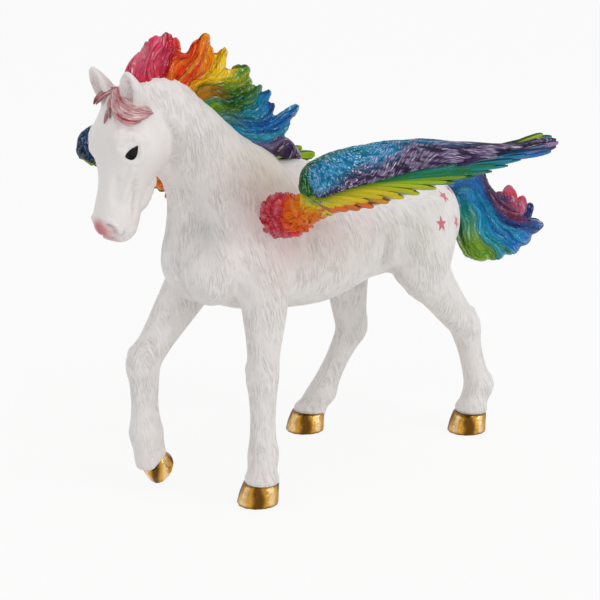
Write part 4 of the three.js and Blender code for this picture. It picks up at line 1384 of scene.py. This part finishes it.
class PEGASUS_OT_hooves(bpy.types.Operator):
    """Rounds the four hooves and paints them gold"""

    bl_idname = "pegasus.hooves"
    bl_label = "Hooves"

    def execute(self, context):
        settings = context.scene.pegasus_fittings
        material = self.gold_paint(settings)
        for leg in LEGS:
            name = hoof_of(leg)
            hoof = skin_of([name], 0, settings.hoof_detail)
            relax(hoof, hoof.verts, 7)
            self.mark(hoof)
            finished(f"{name}_gold", hoof, [material], [name])
        return {"FINISHED"}

    def gold_paint(self, settings):
        """Metallic gold in painted bright reflection bands, painted dark reflection between them, painted
        shade at the rims, and a random dark mottle.
        """
        material, tree, shader = new_material("Metallic gold paint")
        place = drawing_coordinates(tree)
        mottled = remap(tree, grain(tree, place, 0.35, 4), 0.45, 0.65)
        sheen = carried(tree, "sheen")
        # Painted dark reflection between the bright bands
        bands = remap(tree, sheen, 0.05, 0.8, 0.92, 0)
        shade_and_mottle = reckoned(tree, "MAXIMUM", bands, times(tree, mottled, 0.35))
        share = reckoned(tree, "MAXIMUM", carried(tree, "rim"), shade_and_mottle)
        # Pale gold painted highlight in the middle of each bright band
        peak = times(tree, remap(tree, sheen, 0.75, 1), 0.45)
        gold = blend(tree, peak, settings.gold, PALE_GOLD)
        colour = blend(tree, share, gold, settings.bronze)
        shader.inputs["Metallic"].default_value = 0.95
        roughness = remap(tree, mottled, 0, 1, 0.14, 0.3)
        painted(tree, shader, colour, roughness, raised(tree, grain(tree, place, 0.8, 3), 0.25))
        return material

    def mark(self, hoof):
        """Stores where a hoof gets painted shade at its rims, and its painted reflection bands."""
        low = min(vert.co.z for vert in hoof.verts)
        high = max(vert.co.z for vert in hoof.verts)
        rim = hoof.verts.layers.float.new("rim")
        sheen = hoof.verts.layers.float.new("sheen")
        middle = sum((vert.co for vert in hoof.verts), Vector()) / len(hoof.verts)
        for vert in hoof.verts:
            away = (vert.co - middle) / MM
            # Painted reflection: bright and dark bands that run round the hoof
            turn = math.atan2(away.y, away.x) + 0.16 * noise.noise(away * 0.35)
            vert[sheen] = 0.5 + 0.5 * math.cos(HOOF_BANDS * turn)
            rise = (vert.co.z - low) / (high - low)
            # Painted shade at the sole and in a thin line under the coronet
            vert[rim] = max(0.9 * eased(0.2, 0, rise), 0.7 * eased(0.86, 0.97, rise))


class PEGASUS_OT_mane(bpy.types.Operator):
    """Models the flame-shaped rainbow lobes of the mane"""

    bl_idname = "pegasus.mane"
    bl_label = "Mane"

    def execute(self, context):
        hair = context.scene.pegasus_hair
        olive = mixed(hair.lime, hair.green, 0.7)
        pine = mixed(hair.green, (0, 0, 0), 0.4)
        brown = mixed(hair.orange, hair.green, 0.3)
        leaf = mixed(hair.lime, hair.green, 0.45)
        pale_rose = mixed(hair.rose, (1, 1, 1), 0.2)
        paints = (
            (hair.crimson, hair.rose, pale_rose),
            (hair.crimson, hair.rose, hair.rose),
            (hair.crimson, hair.rose, hair.crimson),
            (hair.crimson, hair.crimson, hair.scarlet),
            (hair.crimson, hair.scarlet, hair.scarlet),
            (hair.scarlet, hair.scarlet, hair.orange),
            (hair.scarlet, hair.orange, hair.orange),
            (hair.orange, hair.yellow, hair.yellow),
            (brown, olive, leaf),
            (brown, pine, leaf),
            (olive, pine, hair.green),
            (olive, pine, hair.teal),
            (olive, hair.teal, hair.blue),
            (olive, hair.blue, hair.navy),
            (hair.teal, hair.blue, hair.blue),
            (hair.teal, hair.sky, hair.blue),
            (hair.blue, hair.violet, hair.violet),
        )
        lights = (
            (pale_rose,), (pale_rose,), (pale_rose,), (hair.rose,), (hair.orange,), (hair.yellow,),
            (hair.yellow,), (hair.yellow, hair.orange), (hair.yellow, hair.green), (hair.lime, hair.green),
            (hair.lime, hair.teal), (hair.lime, hair.teal), (hair.sky, hair.navy), (hair.sky, hair.navy),
            (hair.sky, hair.navy), (hair.sky, hair.teal), (hair.lilac,),
        )
        deep = hair.mane_depth / MM
        lobes, cores = [], []
        for i, (line, width) in enumerate(MANE):
            root = MANE_LEAN[0] * (0.5 + 0.5 * eased(6, 10, i))
            left = leaning(line, root, MANE_LEAN[1])
            right = [mirrored(point) + FAR_LOBES for point in left]
            middle = [a.lerp(b, 0.5) for a, b in zip(left, right)]
            for spine, share in ((left, 1), (right, 1), (middle, 0.85)):
                lobes.append((i, spine, width))
                cores.append(([spine[0] + MANE_ROOT, *spine], width * share, deep))
        stops = [[(0, root), (0.45, body), (1, tip)] for root, body, tip in paints]
        mane = comb_hair(lobes, cores, 1, 0.25, hair.detail, hair.groove, hair.wave, stops, lights)
        material = combed_material("Painted mane", 0.55)
        finished("mane_locks", mane, [material], ["mane"])
        return {"FINISHED"}


class PEGASUS_OT_forelock(bpy.types.Operator):
    """Models the pink tufts on the brow"""

    bl_idname = "pegasus.forelock"
    bl_label = "Forelock"

    def execute(self, context):
        hair = context.scene.pegasus_hair
        forelock = new_plumage()
        for i, (spine, size) in enumerate(zip(FORELOCK, FORELOCK_SIZES)):
            own = mixed(hair.blossom, hair.rose, (0.05, 0.25, 0)[i % 3])
            ends = mixed(own, hair.crimson, 0.8 if i in RED_STRANDS else 0.05)
            stops = [(0, hair.blossom), (0.5, own), (1, ends)]
            forelock_strand(forelock, spine, hair.tuft_width * size, stops, i * 1.9, hair.crimson)
        material = combed_material("Painted forelock", 0.9, (0.8, 0.24, 0.34))
        finished("forelock_tufts", forelock, [material], ["forelock"])
        return {"FINISHED"}


class PEGASUS_OT_tail(bpy.types.Operator):
    """Models the swept rainbow lobes of the tail"""

    bl_idname = "pegasus.tail"
    bl_label = "Tail"

    def execute(self, context):
        hair = context.scene.pegasus_hair
        olive = mixed(hair.lime, hair.green, 0.5)
        plum = mixed(hair.violet, hair.crimson, 0.25)
        dusk = mixed(hair.coral, hair.violet, 0.2)
        sea = mixed(hair.blue, hair.teal, 0.4)
        paints = (
            (hair.blue, hair.teal, olive, olive),
            (sea, sea, hair.teal, hair.teal),
            (sea, sea, sea, hair.blue),
            (hair.blue, sea, sea, hair.blue),
            (hair.blue, mixed(hair.violet, hair.blue, 0.4), hair.navy, hair.navy),
            (hair.blue, hair.violet, plum, hair.navy),
            (hair.blue, hair.violet, plum, dusk),
            (hair.blue, hair.violet, hair.violet, dusk),
        )
        lights = (
            (hair.lime, hair.green), (hair.sky, olive), (hair.sky, hair.navy), (hair.sky, hair.violet),
            (hair.blue, hair.navy), (hair.lilac, hair.navy), (hair.lilac, hair.navy), (hair.lilac, hair.navy),
        )
        deep = hair.tail_depth / MM
        lobes, cores = [], []
        for i, (line, width) in enumerate(TAIL):
            left = leaning(line, *TAIL_LEAN)
            right = [mirrored(point) + FAR_LOBES * 0.8 for point in left]
            right[-1] = right[-1].lerp(right[-2], 0.9 if i >= TAIL_CURLS else 0.15)
            middle = [a.lerp(b, 0.35 if i >= TAIL_CURLS else 0.5) for a, b in zip(left, right)]
            for spine, share in ((left, 1), (right, 1), (middle, 0.9)):
                lobes.append((i, spine, width))
                cores.append((spine, width * share, deep))
        cores.append(([Vector((x, 0, z)) for x, z in TAIL_DOCK], *DOCK_SIZES))
        stops = [list(zip((0.08, 0.22, 0.6, 0.82), paint)) for paint in paints]
        groove = hair.groove * 0.8
        tail = comb_hair(lobes, cores, -1, 0.7, hair.detail, groove, hair.wave, stops, lights, 5)
        finished("tail_locks", tail, [combed_material("Painted tail", 0.35)], ["tail"])
        return {"FINISHED"}


class PEGASUS_OT_wings(bpy.types.Operator):
    """Models the feathered wings: scaled arm, stroked covert pad and flight feathers"""

    bl_idname = "pegasus.wings"
    bl_label = "Wings"

    def execute(self, context):
        hair = context.scene.pegasus_hair
        sizes = context.scene.pegasus_wing
        wing = new_plumage()
        self.pad(wing, hair, sizes)
        self.feathers(wing, hair, sizes)
        other = wing.copy()
        paint = other.verts.layers.float_color["paint"]
        for vert in other.verts:
            forward = drawing_place(vert).x
            vert.co.z -= FAR_DROOP * MM * eased(8, 42, forward)
            # The front of the right wing's blues and greens darkens towards navy, on this wing only: painted
            # shade
            if vert[paint][0] < 0.2:
                vert[paint] = (*mixed(vert[paint][:3], hair.navy, 0.75 * eased(26, 36, forward)), 1)
        self.arm(wing, hair, sizes, WING_ARM)
        self.arm_feathers(wing, hair, sizes)
        arched = [(x, y, z + lift, *half) for (x, y, z, *half), lift in zip(WING_ARM, FAR_ARCH)]
        self.arm(other, hair, sizes, arched, FAR_SHIFT)
        for (root, tip, width), tone in zip(FAR_FEATHERS, (0, 0.3)):
            own = mixed(hair.lime, hair.green, tone)
            stops = [(0, own), (0.8, own), (1, hair.lime)]
            blade(other, spot(*root), spot(*tip), LEFT, width * MM, sizes.feather_thickness, stops, 3 + width)
        bmesh.ops.scale(other, vec=(1, -1, 1), verts=other.verts)
        bmesh.ops.reverse_faces(other, faces=other.faces)
        pale = mixed(hair.lilac, (1, 1, 1), 0.6)
        materials = [
            feather_material("Painted feathers", pale, 0.08),
            stroke_material(pale),
            feather_material("Painted scales", pale, 0.35),
        ]
        finished("wing_left_plumage", wing, materials, ["wing_left"])
        finished("wing_right_plumage", other, materials, ["wing_right"])
        return {"FINISHED"}

    def rings(self, stations, count):
        """Ring matrices of a loft whose sections stand upright."""
        rows = flow(stations, even(count))
        path = [spot(*row[:3]) for row in rows]
        rings = []
        for row, place, ahead in zip(rows, path, headings(path)):
            across = square_to(UP, ahead)
            over = ahead.cross(across)
            middle = place + over * (row[4] - row[5]) / 2 * MM
            rings.append(section(middle, across * row[3] * MM, over * (row[4] + row[5]) / 2 * MM, ahead))
        return rings

    def chip(self, place):
        """Height of a crumpled chip: low at its root, high at its raised end, 0 in the crack round it."""
        nearest, cells = noise.voronoi(place)[:2]
        way = (drift(cells[0] * 1.7) * 0.9 + Vector((0.3, -0.2, 0.7))).normalized()
        slope = min(max(0.5 + 0.95 * (place - cells[0]).dot(way), 0), 1)
        return eased(0, 0.12, nearest[1] - nearest[0]) * (0.15 + 0.85 * slope)

    def arm(self, wing, hair, sizes, stations, shift=0.0):
        """The arm, covered in lumpy overlapping scales, red at the shoulder to yellow at the wrist."""
        red = mixed(hair.crimson, hair.rose, 0.45)
        flame = mixed(hair.orange, hair.scarlet, 0.5)
        stops = [(0, red), (0.5, red), (0.56, hair.scarlet), (0.64, flame), (0.8, hair.orange),
                 (0.9, hair.yellow), (1, hair.lime)]
        rings = self.rings(stations, 150)
        lump = sizes.scale_width / MM

        def finish(t, angle):
            along = t * ARM_LENGTH
            around = Vector((math.cos(angle), math.sin(angle), 0)) * ARM_RADIUS / lump
            place = around + UP * along / (lump * 1.25)
            place = place + drift(place * 0.7) * 0.9
            crest = 0.84 * self.chip(place) + 0.16 * self.chip(place * 2.1 + LEFT * 3)
            tone = noise.noise(place * 1.1)
            colour = graded(stops, t + shift + 0.06 * tone)
            # Pale pink on the raised ends of the chips: painted highlight
            colour = mixed(colour, hair.blossom, 0.28 * eased(0.6, 0.9, crest) * eased(0.6, 0.5, t + shift))
            deep = sizes.scale_depth / MM / ARM_RADIUS
            # A low ridge in the cracks between chips darkens them: painted shade
            return 1 + deep * (crest - 0.45), 0.55 + 0.45 * crest, colour, (along, angle * ARM_RADIUS, 0)

        strand(wing, rings, 120, finish, SCALE_SLOT)

    def arm_feathers(self, wing, hair, sizes):
        """Short feathers along the lower edge of the left arm."""
        flame = mixed(hair.orange, hair.scarlet, 0.3)
        rainbow = [(0, flame), (0.4, hair.orange), (0.7, hair.yellow), (1, hair.lime)]
        width, thickness = sizes.finger_width * 1.4, sizes.feather_thickness * 1.4
        for row, lift in enumerate(ARM_ROWS):
            for i, place in enumerate(even(ARM_FEATHERS)):
                tip = flow(ARM_TIPS, [min(place + 0.04 * row, 1)])[0] + Vector(lift)
                root = tip + ARM_FEATHER_ROOT
                own = graded(rainbow, place)
                stops = [(0, own), (0.8, own), (1, mixed(own, hair.orange, 0.4))]
                blade(wing, spot(*root), spot(*tip), LEFT, width, thickness, stops, i + 130 + 20 * row, 0.4)

    def pad(self, wing, hair, sizes):
        """The covert pad over the leading edge, cut all over with short strokes."""
        count = 300
        rings = self.rings(WING_PAD, count)
        girth = [(ring.col[0].to_3d().length + ring.col[1].to_3d().length) / 2 / MM for ring in rings]

        def finish(t, angle):
            high = math.cos(angle)
            along = min(t, 0.52) * 80 + max(t - 0.52, 0) * 34
            around = angle * girth[round(t * (count - 1))]
            lean = 1.1 - 0.95 * eased(0.2, 0.6, t)
            turned = Vector((along * math.cos(lean) + around * math.sin(lean),
                             around * math.cos(lean) - along * math.sin(lean), 0))
            stroke = noise.noise(Vector((along / 2.2 + around / 1.4, around / 0.75 - along / 3, 0.4)))
            tuft = noise.noise(Vector((along / 6, around / 3, 1.7)))
            crest = min(max(0.55 + stroke * 1.1, 0), 1)
            body = mixed(mixed(hair.blue, hair.sky, 0.5), hair.teal, 0.2 + 0.5 * eased(-0.1, 0.5, tuft))
            body = mixed(body, hair.violet, eased(0.12, 0.38, t - 0.34 * high + 0.12 * tuft + 0.08 * stroke))
            # Lilac on the crests of the strokes: partly the paint's own pale strokes, partly painted
            # highlight
            body = mixed(body, hair.lilac, 0.7 * eased(0.4, 0.9, crest) * eased(0.2, 0.4, t - 0.2 * high))
            body = mixed(body, hair.green, eased(0.085, 0.04, t + 0.02 * stroke))
            body = mixed(body, hair.green, 0.8 * eased(0.8, 0.97, high) * eased(0.34, 0.16, t))
            body = mixed(body, hair.lime, eased(-0.8, -0.97, high) * eased(0.4, 0.2, t))
            deep = sizes.stroke / MM / (2 + 3.5 * (1 - t))
            share = 1 - deep * (1 - crest) * 0.5 + 0.05 * tuft
            return share, crest, body, (turned.x, turned.y, 0)

        strand(wing, rings, 112, finish, COVERT_SLOT)
        self.fringe(wing, hair, sizes, rings)

    def fringe(self, wing, hair, sizes, rings):
        """Finger-shaped feathers that hang in overlapping rows from the lower edge of the covert pad."""
        gold = mixed(hair.yellow, hair.lime, 0.3)
        rust = mixed(hair.orange, hair.crimson, 0.4)
        moss = mixed(hair.lime, hair.yellow, 0.35)
        rainbow = [(0, moss), (0.08, gold), (0.34, gold), (0.44, moss), (0.52, hair.lime), (0.62, hair.green),
                   (0.72, hair.teal), (0.84, hair.blue), (1, hair.lilac)]
        thickness = sizes.feather_thickness * 1.4
        last = len(rings) - 1
        for row, (drop_share, back, inward, offset) in enumerate(FRINGE_ROWS):
            for i in range(1, FRINGE_COUNT):
                place = (i + offset) / FRINGE_COUNT
                end = 0.17 + 0.8 * place
                tip_ring = rings[min(round(end * last), last)]
                root_ring = rings[round(max(end - back - 0.16 * eased(0.4, 0.75, place), 0.02) * last)]
                outward = tip_ring.col[1].to_3d().normalized()
                drop = graded([(at, [low]) for at, low in FRINGE_DROPS], place)[0] * drop_share
                if row == 1:
                    drop *= 1 - 0.18 * eased(0.4, 0.3, place)
                root = root_ring @ Vector((-0.6, 0.25 if row == 0 else 0.55, 0))
                tip = tip_ring @ Vector((-0.92, 0.3, 0)) - UP * drop * MM - outward * inward * MM
                own = graded(rainbow, place + 0.05 * noise.noise(Vector((i * 1.3, row, 0.4))))
                if row == 0:
                    own = mixed(own, rust, eased(0.38, 0.28, place))
                ends = mixed(own, rust, 0.5 * eased(0.36, 0.22, place) * (row == 1))
                own = mixed(own, hair.green, 0.14 * (i % 2) + 0.26 * (row == 2))
                # Dark green at the root, where the feather tucks under the pad: partly the paint's dark green
                # marks, partly painted shade
                stops = [(0, mixed(own, hair.green, 0.75)), (0.4, own), (0.75, own), (1, ends)]
                width = sizes.finger_width * (1.1 - 0.35 * place)
                blade(wing, root, tip, outward, width, thickness, stops, i + 60 * row, 0.45)

    def feathers(self, wing, hair, sizes):
        """Flight feathers, their coverts on both faces, and the long feathers of the tip."""
        pairs = [tuple(spot(*point) for point in pair) for pair in FEATHERS]
        fan = []
        for first, second in zip(pairs, pairs[1:]):
            fan.append(first)
            fan.append(tuple(a.lerp(b, 0.5) for a, b in zip(first, second)))
        fan.append(pairs[-1])
        rainbow = [(0, hair.orange), (0.16, hair.yellow), (0.4, hair.yellow), (0.52, hair.lime),
                   (0.66, hair.lime), (0.78, hair.green), (0.88, hair.teal), (1, hair.blue)]
        width, thickness = sizes.feather_width, sizes.feather_thickness
        droop = COVERT_DROOP * MM
        for i, (root, tip) in enumerate(fan):
            place = i / (len(fan) - 1)
            own = graded(rainbow, place)
            ends = mixed(own, hair.orange, 0.75 * eased(0.55, 0.3, place))
            stops = [(0, own), (0.7, own), (1, ends)]
            tip = root.lerp(tip, 1 - FAN_TRIM * eased(0.57, 0.64, place) * eased(0.95, 0.8, place))
            blade(wing, root, tip, FEATHER_FACE, width, thickness * 1.3, stops, i, 0.1)
            tone = mixed(own, hair.green if place > 0.5 else hair.lime, 0.3)
            stops = [(0, tone), (0.75, tone), (1, own)]
            for side, reach, lift in COVERTS:
                face = FEATHER_FACE * side
                offset = face * lift * MM
                start = root + offset * 0.5
                end = root.lerp(tip, reach) + offset
                seed = i + 40 * reach
                blade(wing, start, end, face, width * 0.95, thickness, stops, seed, 0.1 * side, droop)
        tips = (hair.lime, hair.teal, hair.violet, hair.lilac, hair.violet, hair.blue)
        width, thickness = sizes.finger_width * 1.25, sizes.feather_thickness * 1.6
        for i, ((root, tip), own) in enumerate(zip(TIP_FEATHERS, tips)):
            stops = [(0, hair.violet), (0.4, mixed(own, hair.violet, 0.4)), (0.75, own), (1, own)]
            blade(wing, spot(*root), spot(*tip), LEFT, width, thickness, stops, i + 90, 0.2)


class PEGASUS_OT_stage(bpy.types.Operator):
    """Sets the floor, the studio light and the camera"""

    bl_idname = "pegasus.stage"
    bl_label = "Stage"

    def execute(self, context):
        scene = context.scene
        settings = scene.pegasus_stage
        scene.view_settings.view_transform = "Standard"
        self.floor(scene, settings)
        self.sky(scene, settings)
        aim = spot(0, 0, settings.aim / MM)
        lamps = [("key", *KEY_LIGHT, settings.key), ("fill", *FILL_LIGHT, settings.fill)]
        for i, (place, share) in enumerate(GLINTS):
            lamps.append((f"glint_{i}", place, GLINT_SIZE, settings.glint * share))
        for name, place, size, power in lamps:
            self.lamp(scene, name, aim + Vector(place), aim, power, size)
        self.camera(scene, settings, aim)
        return {"FINISHED"}

    def camera(self, scene, settings, aim):
        """The camera at its angle, turned to the aim point."""
        level = math.cos(settings.elevation)
        across = level * math.sin(settings.azimuth)
        outward = Vector((level * math.cos(settings.azimuth), across, math.sin(settings.elevation)))
        data = bpy.data.cameras.new("camera")
        data.lens = settings.lens
        data.sensor_width = SENSOR
        data.clip_start = 0.01
        camera = bpy.data.objects.new("camera", data)
        camera.location = aim + outward * settings.distance
        camera.rotation_euler = (-outward).to_track_quat("-Z", "Y").to_euler()
        scene.collection.objects.link(camera)
        scene.camera = camera

    def seen(self, tree):
        """1 for rays that look straight at the background or reflect it."""
        path = node(tree, "ShaderNodeLightPath").outputs
        straight = reckoned(tree, "MAXIMUM", path["Is Camera Ray"], path["Is Glossy Ray"])
        return reckoned(tree, "MAXIMUM", straight, path["Is Transmission Ray"])

    def floor(self, scene, settings):
        """A wide pale floor that keeps the object's shadow."""
        mesh = bmesh.new()
        bmesh.ops.create_circle(mesh, cap_ends=True, segments=96, radius=FLOOR_RADIUS)
        data = bpy.data.meshes.new("floor")
        mesh.to_mesh(data)
        mesh.free()
        material, tree, shader = new_material("Pale floor")
        shader.inputs["Base Color"].default_value = (*settings.floor, 1)
        shader.inputs["Roughness"].default_value = 0.9
        glow = node(tree, "ShaderNodeEmission", {"Color": (1, 1, 1, 1), "Strength": 1.0})
        share = times(tree, self.seen(tree), FLOOR_GLOW)
        mixer = node(tree, "ShaderNodeMixShader", {0: share, 1: shader.outputs[0], 2: glow.outputs[0]})
        tree.links.new(mixer.outputs[0], tree.nodes["Material Output"].inputs["Surface"])
        data.materials.append(material)
        floor = bpy.data.objects.new("floor", data)
        scene.collection.objects.link(floor)

    def sky(self, scene, settings):
        """Soft light from all round, seen as plain white."""
        world = bpy.data.worlds.new("studio")
        world.use_nodes = True
        tree = world.node_tree
        strength = remap(tree, self.seen(tree), 0, 1, settings.sky, 1)
        background = tree.nodes["Background"]
        background.inputs["Color"].default_value = (1, 1, 1, 1)
        tree.links.new(strength, background.inputs["Strength"])
        scene.world = world

    def lamp(self, scene, name, place, aim, power, size):
        """A square light turned to the aim point."""
        data = bpy.data.lights.new(name, "AREA")
        data.energy = power
        data.size = size
        lamp = bpy.data.objects.new(name, data)
        lamp.location = place
        lamp.rotation_euler = (aim - place).to_track_quat("-Z", "Y").to_euler()
        scene.collection.objects.link(lamp)


OPERATORS = (
    PEGASUS_OT_coat,
    PEGASUS_OT_eyes,
    PEGASUS_OT_hooves,
    PEGASUS_OT_mane,
    PEGASUS_OT_forelock,
    PEGASUS_OT_tail,
    PEGASUS_OT_wings,
    PEGASUS_OT_stage,
)


class PEGASUS_PT_panel(bpy.types.Panel):
    """Lists the figurine's pieces and their settings"""

    bl_idname = "PEGASUS_PT_panel"
    bl_label = "Pegasus figurine"
    bl_space_type = "VIEW_3D"
    bl_region_type = "UI"
    bl_category = "Pegasus"

    def draw(self, context):
        for operator in OPERATORS:
            self.layout.operator(operator.bl_idname)
        for name, group in SETTINGS.items():
            box = self.layout.box()
            for prop in group.__annotations__:
                box.prop(getattr(context.scene, name), prop)


CLASSES = (*SETTINGS.values(), *OPERATORS, PEGASUS_PT_panel)


def register():
    """Adds the pieces, their settings and the panel to Blender."""
    for cls in CLASSES:
        bpy.utils.register_class(cls)
    for name, group in SETTINGS.items():
        setattr(bpy.types.Scene, name, bpy.props.PointerProperty(type=group))


def unregister():
    """Takes them out again."""
    for name in SETTINGS:
        delattr(bpy.types.Scene, name)
    for cls in reversed(CLASSES):
        bpy.utils.unregister_class(cls)


def main():
    """Builds the figurine."""
    register()
    bpy.ops.pegasus.stage()
    bpy.ops.pegasus.coat()
    bpy.ops.pegasus.eyes()
    bpy.ops.pegasus.hooves()
    bpy.ops.pegasus.mane()
    bpy.ops.pegasus.forelock()
    bpy.ops.pegasus.tail()
    bpy.ops.pegasus.wings()


if __name__ == "__main__":
    main()
